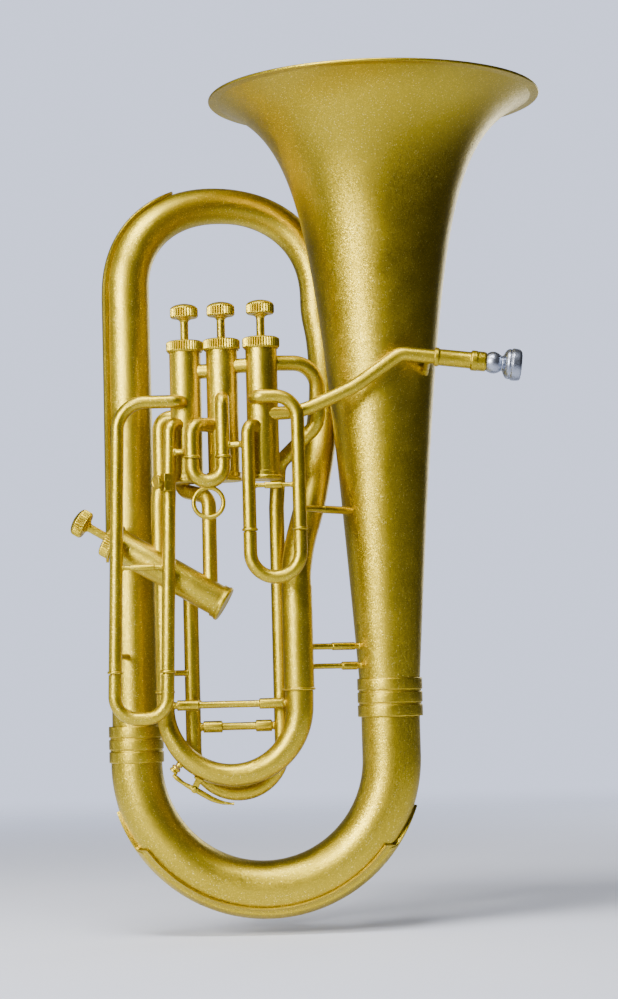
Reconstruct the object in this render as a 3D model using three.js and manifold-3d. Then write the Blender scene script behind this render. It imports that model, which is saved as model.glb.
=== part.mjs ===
// A three-plus-one-valve compensating euphonium (tenor tuba), as the separate brass pieces it is made of.
// Millimetres. +Z points from the bottom bow to the bell, -Y is the player's valve side, and Y = 0 is the
// plane of the bell, the bottom bow and the outer branch. The origin is the lowest point of the bow guard.
import * as THREE from "three";
import { mergeVertices } from "three/addons/utils/BufferGeometryUtils.js";
import Module from "manifold-3d";

const wasm = await Module();
wasm.setup();

// ---------------------------------------------------------------- driving dimensions
const GAP = 0.3; // between pieces that are soldered together or rest on each other
const WALL = 0.8; // tube and sheet wall
const RUNNING_GAP = 0.3; // between a slide leg and its sleeve, on the radius
const SMALL_SIDES = 8;
const LARGE_SIDES = 12;
const VALVE_SIDES = 14;
const MAIN_SIDES = 10;

const HALF_WIDTH = 101.5; // bell axis and outer branch axis, either side of X = 0
const GUARD_THICKNESS = 1.1;
const GUARD_LIFT = 1.3; // from a tube's surface to the guard sheet over it
const BOW_TOP_RADIUS = { bell: 23.4, branch: 20.3 };
const BOW_MIDDLE_RADIUS = (BOW_TOP_RADIUS.bell + BOW_TOP_RADIUS.branch) / 2;
const BOW_CENTRE_Z = HALF_WIDTH + BOW_MIDDLE_RADIUS + GUARD_LIFT + GUARD_THICKNESS;

const BELL_RIM_Z = 658;
const BELL_RIM_RADIUS = 134;
const BELL_JOINT_Z = 172.5; // where the bell meets the bottom bow, inside its ferrule
const BELL_FERRULE = { low: 157.5, high: 188, outer: 26 };
const BRANCH_JOINT_Z = 139;
const BRANCH_FERRULE = { low: 126, high: 155, outer: 21.8 };
const BRANCH_RADIUS = { low: 18.9, high: 17.8 };

const TOP_BOW = { left: -HALF_WIDTH, right: 52, low: 503, rise: 76, depth: 51, squareness: 2.15 };
const END_STRAIGHT = 4; // straight stretch at each end of a bow, where it meets its neighbour
const TOP_BOW_END_RADIUS = 14.2;
const MAIN_BORE_RADIUS = 11.6; // inner branch where it meets the main tuning slide

const CASING_RADIUS = 12.5;
const CASING_BORE = 11.6;
const BUTTON_GAP = 18; // under the finger button, above the top cap
const VALVES = [
  { at: [-54.2, -37, 345], height: 113 },
  { at: [-25, -43, 345], height: 113 },
  { at: [6.3, -49, 345], height: 113 },
];
const VALVE4 = { through: [-80, -36.5, 280.4], slope: 31, lean: 3, low: 62, high: 46 };

const SLIDE1 = { y: -55.5, lean: 1.7, ferrule: 196, depth: 35, bend: 17.5, radius: 5.2, reach: 70 };
const SLIDE2 = { y: -63.4, ferrule: 362, depth: 18, bend: 12, radius: 5.6, reach: 17 };
const SLIDE3 = { y: -68, ferrule: 304, depth: 36, bend: 20, radius: 5.3, reach: 60 };
const SLIDE4 = { y: -16, ferrule: 172, depth: 71.5, bend: 34.9, radius: 6.1, reach: 52 };
const MAIN = { y: -32, ferrule: 180, depth: 65, bend: 52.6, leftRadius: 6.8, rightRadius: 12, reach: 60 };
const MAIN_BOW_END_RADIUS = 10.9;
const MAIN_SLEEVE_TOP = 262;
const LEG_X = {
  slide1: [-107.3, -66.3], // at the height SLIDE1_LEVEL, because these legs lean
  slide2: [-49.2, -25],
  slide3: [-5.3, 33.6],
  slide4: [-55, 15],
  main: [-75.8, 29.5],
};
const SLIDE1_LEVEL = 390;

const LEADPIPE_Y = -55;
const RECEIVER_START = [142, LEADPIPE_Y, 438];
const RECEIVER_SLOPE = 7.2; // degrees below level

const radians = THREE.MathUtils.degToRad;
const slide1LegX = (side, z) => LEG_X.slide1[side] - (SLIDE1_LEVEL - z) * Math.tan(radians(SLIDE1.lean));
const onValve = (n, z) => [VALVES[n - 1].at[0], VALVES[n - 1].at[1], z];

// Where each tube starts inside its valve casing, its first corner outside, and its outer radius.
const port = (from, to, radius) => ({ from, to, radius });
const PORTS = {
  slide1Left: port([-57.5, -40, 408], [-57.5, SLIDE1.y, 408], SLIDE1.radius),
  slide1Right: port(onValve(1, 390.6), [slide1LegX(1, 390.6), SLIDE1.y, 390.6], SLIDE1.radius),
  slide2Left: port(onValve(2, 389), [LEG_X.slide2[0], SLIDE2.y, 389], SLIDE2.radius),
  slide2Right: port(onValve(2, 409), [LEG_X.slide2[1], SLIDE2.y, 409], SLIDE2.radius),
  slide3Left: port(onValve(3, 387), [LEG_X.slide3[0], SLIDE3.y, 387], SLIDE3.radius),
  slide3Right: port([0.5, -49, 409], [0.5, SLIDE3.y, 409], SLIDE3.radius),
  slide4Left: port([LEG_X.slide4[0], MAIN.y, 262], [LEG_X.slide4[0], SLIDE4.y, 262], SLIDE4.radius),
  slide4Right: port([6.3, -47, 437.5], [50, -38, 437.5], SLIDE4.radius),
  valve1To2: port(onValve(1, 433), onValve(2, 433), 5.8),
  valve2To3: port(onValve(2, 436), onValve(3, 436), 5.8),
  valve1To4: port([-54.2, -36, 397], [-74.9, -32, 397], 6.4),
  valve4From1: port([-77, -36, 280], [-77, -36, 330], 6.9),
  returnFrom1: port([-56, -34, 361], [-61, -15, 361], 5.9),
  returnTo4: port([-38, -38, 254], [-38, -38, 290], 5.9),
  mainLeft: port([LEG_X.main[0], MAIN.y, 280], [LEG_X.main[0], MAIN.y, 240], MAIN.leftRadius),
  leadpipe: port([10, LEADPIPE_Y, 396.3], [36, LEADPIPE_Y, 397.4], 5.3),
};

// ---------------------------------------------------------------- materials
const metal = (color, roughness) => new THREE.MeshStandardMaterial({ color, roughness, metalness: 1 });
const GOLD = metal(0xd2b95c, 0.42);
const SILVER = metal(0xa8afbd, 0.35);
const STEEL = metal(0xb9bcc0, 0.3);

const DOWN = new THREE.Vector3(0, 0, -1);
const UP = new THREE.Vector3(0, 0, 1);
const euphonium = new THREE.Group();
const vector = ([x, y, z]) => new THREE.Vector3(x, y, z);

function add(name, geometry, material = GOLD, parent = euphonium) {
  const mesh = new THREE.Mesh(geometry, material);
  mesh.name = name;
  parent.add(mesh);
  return mesh;
}

// ---------------------------------------------------------------- solids and booleans
function solidOf(geometry) {
  const bare = geometry.clone();
  bare.deleteAttribute("normal");
  bare.deleteAttribute("uv");
  const merged = mergeVertices(bare, 1e-4);
  const vertProperties = merged.getAttribute("position").array;
  const triVerts = new Uint32Array(merged.index.array);
  return new wasm.Manifold(new wasm.Mesh({ numProp: 3, vertProperties, triVerts }));
}

function geometryOf(solid) {
  const mesh = solid.getMesh();
  const geometry = new THREE.BufferGeometry();
  geometry.setAttribute("position", new THREE.BufferAttribute(new Float32Array(mesh.vertProperties), 3));
  geometry.setIndex([...mesh.triVerts]);
  return geometry;
}

const joined = (first, ...others) =>
  geometryOf(others.reduce((whole, other) => whole.add(solidOf(other)), solidOf(first)));
const cut = (first, ...tools) =>
  geometryOf(tools.reduce((whole, tool) => whole.subtract(solidOf(tool)), solidOf(first)));

// A profile of [radius, height] points turned about the Z axis. Outer walls run upwards.
function turned(profile, sides) {
  const points = profile.map(([radius, height]) => new THREE.Vector2(radius, height));
  return new THREE.LatheGeometry(points, sides).rotateX(Math.PI / 2);
}

// A turned profile laid along the line from one point towards another.
function turnedAlong(from, to, profile, sides) {
  const start = vector(from);
  const direction = vector(to).sub(start).normalize();
  const turn = new THREE.Quaternion().setFromUnitVectors(new THREE.Vector3(0, 0, 1), direction);
  return turned(profile, sides).applyQuaternion(turn).translate(start.x, start.y, start.z);
}

function rod(from, to, radius, sides = SMALL_SIDES) {
  const length = vector(from).distanceTo(vector(to));
  return turnedAlong(from, to, [[0, 0], [radius, 0], [radius, length], [0, length]], sides);
}

// A round stay with a wider foot at each end.
function stay(from, to, radius) {
  const length = vector(from).distanceTo(vector(to));
  const foot = radius * 1.45;
  const footLength = Math.min(2.5, length / 4);
  const profile = [
    [0, 0],
    [foot, 0],
    [radius, footLength],
    [radius, length - footLength],
    [foot, length],
    [0, length],
  ];
  return turnedAlong(from, to, profile, 7);
}

// ---------------------------------------------------------------- tubes
// A centreline through corners [x, y, z, bendRadius], each inner corner rounded by an arc.
function route(corners, stepAngle = radians(46)) {
  const points = [];
  corners.forEach((corner, i) => {
    const here = vector(corner);
    if (corner.length < 4) {
      points.push(here);
      return;
    }
    const back = vector(corners[i - 1]).sub(here).normalize();
    const ahead = vector(corners[i + 1]).sub(here).normalize();
    const turn = Math.PI - back.angleTo(ahead);
    const bend = corner[3];
    const start = here.clone().addScaledVector(back, bend * Math.tan(turn / 2));
    const inwards = back.clone().add(ahead).normalize();
    const centre = here.clone().addScaledVector(inwards, bend / Math.cos(turn / 2));
    const spoke = start.clone().sub(centre);
    const axis = spoke.clone().cross(back.clone().negate()).normalize();
    const steps = Math.max(2, Math.ceil(turn / stepAngle));
    for (let k = 0; k <= steps; k++) {
      points.push(spoke.clone().applyAxisAngle(axis, (turn * k) / steps).add(centre));
    }
  });
  return points;
}

// Distances along a list of points, from 0 at the first to 1 at the last.
function fractions(points) {
  const run = [0];
  for (let i = 1; i < points.length; i++) run.push(run[i - 1] + points[i].distanceTo(points[i - 1]));
  return run.map((distance) => distance / run[run.length - 1]);
}

// Stations of a tube whose outer radius tapers from one end to the other.
function stations(points, startRadius, endRadius = startRadius, wall = WALL) {
  const along = fractions(points);
  return points.map((point, i) => {
    const outer = THREE.MathUtils.lerp(startRadius, endRadius, along[i]);
    return { point, outer, bore: outer - wall };
  });
}

// Adds a raised ring of the given length at the end of a tube.
function withEndRing(list, length, outer) {
  const last = list[list.length - 1];
  const before = list[list.length - 2];
  const back = before.point.clone().sub(last.point).normalize();
  const at = (distance) => last.point.clone().addScaledVector(back, distance);
  return [
    ...list.slice(0, -1),
    { ...last, point: at(length + 0.4) },
    { ...last, point: at(length), outer },
    { ...last, outer },
  ];
}

// Unit vectors across each station, carried back from the last one without twist.
function crossDirections(points) {
  const directions = points.map((point, i) => {
    const sum = new THREE.Vector3();
    if (i > 0) sum.add(point.clone().sub(points[i - 1]).normalize());
    if (i < points.length - 1) sum.add(points[i + 1].clone().sub(point).normalize());
    return sum.normalize();
  });
  const reversed = directions.reverse();
  const reference = Math.abs(reversed[0].y) > 0.9 ? new THREE.Vector3(1, 0, 0) : new THREE.Vector3(0, 1, 0);
  let across = reference.cross(reversed[0]).normalize();
  const frames = reversed.map((direction) => {
    across = across.clone().addScaledVector(direction, -across.dot(direction)).normalize();
    return { across, up: direction.clone().cross(across) };
  });
  return frames.reverse();
}

// A closed tube through stations { point, outer, bore }. Without a bore it is a solid wire.
function pipe(list, sides = SMALL_SIDES) {
  const frames = crossDirections(list.map((station) => station.point));
  const hollow = list[0].bore > 0;
  const positions = [];
  const ring = (i, radius) => {
    for (let k = 0; k < sides; k++) {
      const angle = (2 * Math.PI * (k + 0.5)) / sides;
      const spot = list[i].point.clone();
      spot.addScaledVector(frames[i].across, radius * Math.cos(angle));
      spot.addScaledVector(frames[i].up, radius * Math.sin(angle));
      positions.push(...spot.toArray());
    }
  };
  list.forEach((station, i) => ring(i, station.outer));
  if (hollow) list.forEach((station, i) => ring(i, station.bore));
  const count = list.length;
  const index = [];
  const quad = (a, b, c, d) => index.push(a, b, c, a, c, d);
  const at = (layer, i, k) => (layer * count + i) * sides + (k % sides);
  for (let k = 0; k < sides; k++) {
    for (let i = 0; i < count - 1; i++) {
      quad(at(0, i, k), at(0, i, k + 1), at(0, i + 1, k + 1), at(0, i + 1, k));
      if (hollow) quad(at(1, i, k), at(1, i + 1, k), at(1, i + 1, k + 1), at(1, i, k + 1));
    }
    if (hollow) {
      quad(at(0, 0, k), at(1, 0, k), at(1, 0, k + 1), at(0, 0, k + 1));
      quad(at(0, count - 1, k), at(0, count - 1, k + 1), at(1, count - 1, k + 1), at(1, count - 1, k));
    } else {
      const ends = positions.length / 3;
      index.push(ends, at(0, 0, k + 1), at(0, 0, k));
      index.push(ends + 1, at(0, count - 1, k), at(0, count - 1, k + 1));
    }
  }
  if (!hollow) positions.push(...list[0].point.toArray(), ...list[count - 1].point.toArray());
  const geometry = new THREE.BufferGeometry();
  geometry.setAttribute("position", new THREE.Float32BufferAttribute(positions, 3));
  geometry.setIndex(index);
  return geometry;
}

// A sheet lying on the outer side of a tube. Each row says where it is, which way is out
// and how far round it goes.
function wrappedSheet(rows, columns, thickness) {
  const positions = [];
  const layer = (lift) => {
    for (const row of rows) {
      for (let k = 0; k <= columns; k++) {
        const angle = row.halfAngle * ((2 * k) / columns - 1);
        const spot = row.point.clone();
        spot.addScaledVector(row.out, (row.radius + lift) * Math.cos(angle));
        spot.addScaledVector(row.side, (row.radius + lift) * Math.sin(angle));
        positions.push(...spot.toArray());
      }
    }
  };
  layer(thickness);
  layer(0);
  const width = columns + 1;
  const under = rows.length * width;
  const index = [];
  const quad = (a, b, c, d) => index.push(a, b, c, a, c, d);
  const at = (i, k) => i * width + k;
  const last = rows.length - 1;
  for (let i = 0; i < last; i++) {
    for (let k = 0; k < columns; k++) {
      quad(at(i, k), at(i, k + 1), at(i + 1, k + 1), at(i + 1, k));
      quad(under + at(i, k), under + at(i + 1, k), under + at(i + 1, k + 1), under + at(i, k + 1));
    }
    quad(at(i, 0), at(i + 1, 0), under + at(i + 1, 0), under + at(i, 0));
    quad(at(i, columns), under + at(i, columns), under + at(i + 1, columns), at(i + 1, columns));
  }
  for (let k = 0; k < columns; k++) {
    quad(at(0, k), under + at(0, k), under + at(0, k + 1), at(0, k + 1));
    quad(at(last, k), at(last, k + 1), under + at(last, k + 1), under + at(last, k));
  }
  const geometry = new THREE.BufferGeometry();
  geometry.setAttribute("position", new THREE.Float32BufferAttribute(positions, 3));
  geometry.setIndex(index);
  return geometry;
}

// ---------------------------------------------------------------- bell
// Outer radius of the bell at a distance below its rim: a long cone plus a flare.
function bellRadius(below) {
  return 16.5 + 0.0547 * (500 - below) + 3853 * (below + 38.2) ** -1.032;
}

function bellProfile(wall) {
  const length = BELL_RIM_Z - BELL_JOINT_Z;
  const steps = 9;
  const outside = [];
  for (let i = 0; i <= steps; i++) {
    const below = 3 + (length - 3) * (1 - i / steps) ** 2.1;
    outside.push([bellRadius(below), BELL_RIM_Z - below]);
  }
  const inside = outside.map(([radius, z], i) => {
    const [r0, z0] = outside[Math.max(0, i - 1)];
    const [r1, z1] = outside[Math.min(steps, i + 1)];
    const slope = Math.atan2(r1 - r0, z1 - z0);
    return [radius - wall * Math.cos(slope), z + wall * Math.sin(slope)];
  });
  return { outside, inside: inside.reverse() };
}

function bell() {
  const { outside, inside } = bellProfile(WALL);
  const rim = [
    [BELL_RIM_RADIUS, BELL_RIM_Z - 2.6],
    [BELL_RIM_RADIUS, BELL_RIM_Z],
    [BELL_RIM_RADIUS - 4, BELL_RIM_Z],
  ];
  const profile = [...outside, ...rim, ...inside];
  add("bell", turned([...profile, profile[0]], 24)).position.set(HALF_WIDTH, 0, 0);
}

// The bell's outside grown by the soldering gap, to trim what ends against it.
function bellKeepOut() {
  const { outside } = bellProfile(WALL);
  const grown = outside.map(([radius, z]) => [radius + GAP, z]);
  const profile = [[0, grown[0][1]], ...grown, [0, grown[grown.length - 1][1]]];
  return turned(profile, 72).translate(HALF_WIDTH, 0, 0);
}

// A sleeve with turned grooves over the joint of two tubes, its bore following their taper.
function ferrule(name, x, { low, high, outer }, boreLow, boreHigh, grooves) {
  const profile = [[boreLow, low], [outer, low]];
  const pitch = (high - low) / (grooves + 1);
  for (let i = 1; i <= grooves; i++) {
    const z = low + i * pitch;
    profile.push([outer, z - 1.2], [outer - 0.8, z], [outer, z + 1.2]);
  }
  profile.push([outer, high], [boreHigh, high], [boreLow, low]);
  add(name, turned(profile, 20)).position.set(x, 0, 0);
}

// ---------------------------------------------------------------- bottom bow, outer branch, top bow
function bowPoint(angle) {
  return new THREE.Vector3(HALF_WIDTH * Math.sin(angle), 0, BOW_CENTRE_Z - HALF_WIDTH * Math.cos(angle));
}

function bowRadius(angle) {
  return THREE.MathUtils.lerp(BOW_TOP_RADIUS.branch, BOW_TOP_RADIUS.bell, angle / Math.PI + 0.5);
}

const BOW_STEP = radians(18);

function bottomBow() {
  const steps = Math.round(Math.PI / BOW_STEP);
  const list = [];
  const station = (point, outer) => list.push({ point, outer, bore: outer - WALL });
  station(new THREE.Vector3(-HALF_WIDTH, 0, BRANCH_JOINT_Z - GAP), BOW_TOP_RADIUS.branch);
  for (let i = 0; i <= steps; i++) {
    const angle = BOW_STEP * i - Math.PI / 2;
    station(bowPoint(angle), bowRadius(angle));
  }
  station(new THREE.Vector3(HALF_WIDTH, 0, BELL_JOINT_Z - GAP), BOW_TOP_RADIUS.bell);
  add("bottom_bow", pipe(list, 14));
}

function bowGuard() {
  const steps = 8;
  const reach = (steps / 2) * BOW_STEP;
  const rows = [];
  for (let i = 0; i <= steps; i++) {
    const angle = reach * ((2 * i) / steps - 1);
    const halfAngle = i % steps === 0 ? radians(22) : radians(51);
    const out = new THREE.Vector3(Math.sin(angle), 0, -Math.cos(angle));
    rows.push({ point: bowPoint(angle), out, side: new THREE.Vector3(0, 1, 0), halfAngle });
    rows[i].radius = bowRadius(angle) + GUARD_LIFT;
  }
  add("bow_guard", wrappedSheet(rows, 4, GUARD_THICKNESS));
}

function outerBranch() {
  const points = [
    new THREE.Vector3(-HALF_WIDTH, 0, BRANCH_JOINT_Z),
    new THREE.Vector3(-HALF_WIDTH, 0, TOP_BOW.low - END_STRAIGHT - GAP),
  ];
  add("outer_branch", pipe(stations(points, BRANCH_RADIUS.low, BRANCH_RADIUS.high), LARGE_SIDES));
}

// The top bow's centreline: a rounded arch that leans away from the valves as it crosses to the bell side.
function topBowPoint(turn) {
  const middle = (TOP_BOW.left + TOP_BOW.right) / 2;
  const half = (TOP_BOW.right - TOP_BOW.left) / 2;
  const round = (value) => Math.sign(value) * Math.abs(value) ** (2 / TOP_BOW.squareness);
  const swing = Math.min(1, turn / radians(135));
  return new THREE.Vector3(
    middle - half * round(Math.cos(turn)),
    (TOP_BOW.depth * (1 - Math.cos(Math.PI * swing))) / 2,
    TOP_BOW.low + TOP_BOW.rise * round(Math.sin(turn)),
  );
}

function topBowRadius(turn) {
  const early = Math.min(1, turn / radians(100));
  return THREE.MathUtils.lerp(BRANCH_RADIUS.high, TOP_BOW_END_RADIUS, early);
}

function topBow() {
  const steps = 12;
  const list = [];
  for (let i = 0; i <= steps; i++) {
    const turn = (Math.PI * i) / steps;
    const outer = topBowRadius(turn);
    list.push({ point: topBowPoint(turn), outer, bore: outer - WALL });
  }
  const lowered = (point) => point.clone().addScaledVector(DOWN, END_STRAIGHT);
  const straightEnd = (station) => ({ ...station, point: lowered(station.point) });
  const whole = [straightEnd(list[0]), ...list, straightEnd(list[steps])];
  add("top_bow", pipe(whole, LARGE_SIDES));
}

function branchGuard() {
  const rows = [];
  const row = (point, out, radius, halfAngle) => {
    rows.push({ point, out, side: new THREE.Vector3(0, -1, 0), radius: radius + GUARD_LIFT, halfAngle });
  };
  const straightSteps = 3;
  const low = 286;
  for (let i = 0; i < straightSteps; i++) {
    const z = THREE.MathUtils.lerp(low, TOP_BOW.low, i / straightSteps);
    const point = new THREE.Vector3(-HALF_WIDTH, 0, z);
    row(point, new THREE.Vector3(-1, 0, 0), BRANCH_RADIUS.low, radians(i === 0 ? 12 : 36));
  }
  const bendSteps = 7;
  const reach = radians(66);
  for (let i = 0; i <= bendSteps; i++) {
    const turn = (reach * i) / bendSteps;
    const step = radians(1);
    const tangent = topBowPoint(turn + step).sub(topBowPoint(Math.max(0, turn - step))).normalize();
    const side = new THREE.Vector3(0, -1, 0).addScaledVector(tangent, tangent.y).normalize();
    const out = side.clone().cross(tangent).normalize();
    row(topBowPoint(turn), out, topBowRadius(turn) + 0.4, radians(i === bendSteps ? 12 : 36));
    rows[rows.length - 1].side = side;
  }
  add("branch_guard", wrappedSheet(rows, 4, GUARD_THICKNESS));
}

function innerBranch() {
  const start = topBowPoint(Math.PI).addScaledVector(DOWN, END_STRAIGHT + GAP);
  const curve = new THREE.CatmullRomCurve3([
    start.clone().addScaledVector(DOWN, END_STRAIGHT),
    new THREE.Vector3(55.5, 50, 470),
    new THREE.Vector3(57, 43.5, 440),
    new THREE.Vector3(56, 35, 414),
    new THREE.Vector3(51.5, 19, 382),
    new THREE.Vector3(47, 5, 355),
    new THREE.Vector3(41, -10, 326),
    new THREE.Vector3(33, -24, 296),
    new THREE.Vector3(LEG_X.main[1], MAIN.y, 272),
  ]);
  const end = new THREE.Vector3(LEG_X.main[1], MAIN.y, MAIN_SLEEVE_TOP + GAP);
  const points = [start, ...curve.getSpacedPoints(10), end];
  add("inner_branch", pipe(stations(points, TOP_BOW_END_RADIUS, MAIN_BORE_RADIUS), LARGE_SIDES));
}

// ---------------------------------------------------------------- valves
const valve4Direction = new THREE.Vector3(
  -Math.cos(radians(VALVE4.slope)) * Math.cos(radians(VALVE4.lean)),
  Math.sin(radians(VALVE4.lean)),
  Math.sin(radians(VALVE4.slope)) * Math.cos(radians(VALVE4.lean)),
);
VALVES.push({
  at: vector(VALVE4.through).addScaledVector(valve4Direction, -VALVE4.low).toArray(),
  height: VALVE4.low + VALVE4.high,
  direction: valve4Direction,
});

const valveGroups = VALVES.map(({ at, direction = UP }) => {
  const group = new THREE.Group();
  group.position.set(...at);
  group.quaternion.setFromUnitVectors(UP, direction);
  group.updateMatrix();
  euphonium.add(group);
  return group;
});

// The space that valve casing n takes, with the soldering gap round it.
function casingCore(n) {
  const { height } = VALVES[n - 1];
  const radius = CASING_RADIUS + GAP;
  const core = turned([[0, 1], [radius, 1], [radius, height], [0, height]], VALVE_SIDES);
  return core.applyMatrix4(valveGroups[n - 1].matrix);
}

// Rods as wide as a tube's bore, in the valve's own frame, that drill the casing's ports.
function portDrills(n, ports) {
  const inverse = valveGroups[n - 1].matrix.clone().invert();
  return ports.map((name) => {
    const { from, to, radius } = PORTS[name];
    return rod(from, to, radius - WALL, 6).applyMatrix4(inverse);
  });
}

function compensatingLoop(low) {
  const reach = 27;
  const bend = 8.5;
  const corners = [
    [0, CASING_RADIUS - 0.6, low],
    [0, reach, low, bend],
    [0, reach, low + 20, bend],
    [0, CASING_RADIUS - 0.6, low + 20],
  ];
  return pipe(stations(route(corners, radians(46)), 4.6), 6);
}

function casing(n, ports, loopLow) {
  const { height } = VALVES[n - 1];
  const low = 2 + GAP;
  const high = height - 2 - GAP;
  const wall = [[CASING_BORE, low], [CASING_RADIUS, low], [CASING_RADIUS, high], [CASING_BORE, high]];
  let geometry = turned([...wall, wall[0]], VALVE_SIDES);
  if (loopLow) {
    const loopPorts = [loopLow, loopLow + 20].map((z) => rod([0, 6, z], [0, 16, z], 3.4, 6));
    const clearance = rod([0, 0, low], [0, 0, high], CASING_RADIUS - 0.4, VALVE_SIDES);
    geometry = joined(geometry, cut(compensatingLoop(loopLow), clearance));
    geometry = cut(geometry, ...loopPorts);
  }
  add(`valve${n}_casing`, cut(geometry, ...portDrills(n, ports)), GOLD, valveGroups[n - 1]);
}

function valve(n, ports, loopLow) {
  const { height } = VALVES[n - 1];
  const group = valveGroups[n - 1];
  casing(n, ports, loopLow);

  const over = CASING_RADIUS + GAP;
  const bottom = [[3, 0], [14.4, 0], [14.4, 7], [over, 7], [over, 2], [3, 2], [3, 0]];
  add(`valve${n}_bottom_cap`, turned(bottom, VALVE_SIDES), GOLD, group);

  const skirt = height - 9.5;
  const top = [
    [over, skirt],
    [14.7, skirt],
    [14.7, height],
    [4.2, height],
    [4.2, height - 2],
    [over, height - 2],
    [over, skirt],
  ];
  add(`valve${n}_top_cap`, turned(top, VALVE_SIDES), GOLD, group);

  const pistonTop = height - 6;
  const pistonLow = 36;
  const pistonRadius = CASING_BORE - 0.35;
  const piston = [
    [pistonRadius - 1, pistonLow],
    [pistonRadius, pistonLow],
    [pistonRadius, pistonTop],
    [2.6, pistonTop],
    [2.6, pistonTop - 2.5],
    [pistonRadius - 1, pistonTop - 2.5],
    [pistonRadius - 1, pistonLow],
  ];
  const passage = rod([-14, 0, pistonLow + 28], [14, 0, pistonLow + 28], 5, 6);
  add(`valve${n}_piston`, cut(turned(piston, 12), passage), STEEL, group);

  const buttonLow = height + BUTTON_GAP;
  const button = [
    [0, pistonTop - 2.2],
    [2.3, pistonTop - 2.2],
    [2.3, pistonTop + GAP],
    [3.6, pistonTop + GAP],
    [3.6, buttonLow],
    [11.1, buttonLow],
    [11.1, buttonLow + 8],
    [7.5, buttonLow + 10.8],
    [0, buttonLow + 11.5],
  ];
  add(`valve${n}_button`, turned(button, 10), GOLD, group);

  const turns = 4;
  const stepsPerTurn = 7;
  const wire = 0.7;
  const coilRadius = 9;
  const springLow = 2 + GAP + wire;
  const springHigh = pistonLow - GAP - wire;
  const coil = [];
  for (let i = 0; i <= turns * stepsPerTurn; i++) {
    const angle = (2 * Math.PI * i) / stepsPerTurn;
    const z = THREE.MathUtils.lerp(springLow, springHigh, i / (turns * stepsPerTurn));
    const point = new THREE.Vector3(coilRadius * Math.cos(angle), coilRadius * Math.sin(angle), z);
    coil.push({ point, outer: wire, bore: 0 });
  }
  add(`valve${n}_spring`, pipe(coil, 3), STEEL, group);
}

// ---------------------------------------------------------------- slides
// The inner legs and bow of a slide. a and b are the ends of its sleeves, and down is the way it pulls out.
function crook(a, b, down, { depth, bend, reach }, legs, bows, sides = SMALL_SIDES) {
  const move = (point, distance) => vector(point).addScaledVector(down, distance);
  const corner = (point) => [...move(point, depth).toArray(), bend];
  const bow = route([move(a, 0.8).toArray(), corner(a), corner(b), move(b, 0.8).toArray()], radians(31));
  const bores = legs.map((radius) => radius - WALL);
  const curve = stations(bow, bows[0], bows[1]);
  const along = fractions(bow);
  curve.forEach((station, i) => {
    station.bore = THREE.MathUtils.lerp(bores[0], bores[1], along[i]);
  });
  const leg = (point, i, distance) => ({ point: move(point, distance), outer: legs[i], bore: bores[i] });
  const list = [leg(a, 0, -reach), leg(a, 0, 0.5), ...curve, leg(b, 1, 0.5), leg(b, 1, -reach)];
  return pipe(list, sides);
}

// Radius of the leg that runs inside a sleeve of the given outer radius.
const legRadius = (sleeveRadius) => sleeveRadius - WALL - RUNNING_GAP;

const RING_LENGTH = 4;
const RING_RISE = 0.9;

function sleeve(corners, radius, sides = SMALL_SIDES) {
  return pipe(withEndRing(stations(route(corners), radius), RING_LENGTH, radius + RING_RISE), sides);
}

function slide1() {
  const { y, lean, ferrule: end, radius } = SLIDE1;
  const down = new THREE.Vector3(-Math.sin(radians(lean)), 0, -Math.cos(radians(lean)));
  const { slide1Left, slide1Right } = PORTS;
  const a = [slide1LegX(0, end), y, end];
  const b = [slide1LegX(1, end), y, end];
  const leftCorners = [
    slide1Left.from,
    [...slide1Left.to, 8],
    [slide1LegX(0, slide1Left.to[2]), y, slide1Left.to[2], 22],
    a,
  ];
  const branchStay = stay([slide1LegX(0, 210) + 1, y + radius - 0.9, 210], [-106.5, -18.4, 210], 2.4);
  const branchCore = rod([-HALF_WIDTH, 0, 150], [-HALF_WIDTH, 0, 300], BRANCH_RADIUS.low + GAP, 48);
  const left = cut(sleeve(leftCorners, radius), casingCore(1));
  add("slide1_sleeve_left", joined(left, cut(branchStay, branchCore)));

  const right = cut(sleeve([slide1Right.from, [...slide1Right.to, 7.5], b], radius), casingCore(1));
  const brace = stay(
    [slide1LegX(0, 278.5) + radius + GAP, y, 278.5],
    [slide1LegX(1, 278.5) - radius + 0.9, y, 278.5],
    2,
  );
  add("slide1_sleeve_right", joined(right, brace));

  const leg = legRadius(radius);
  add("slide1_crook", crook(a, b, down, SLIDE1, [leg, leg], [radius, radius]));
}

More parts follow.
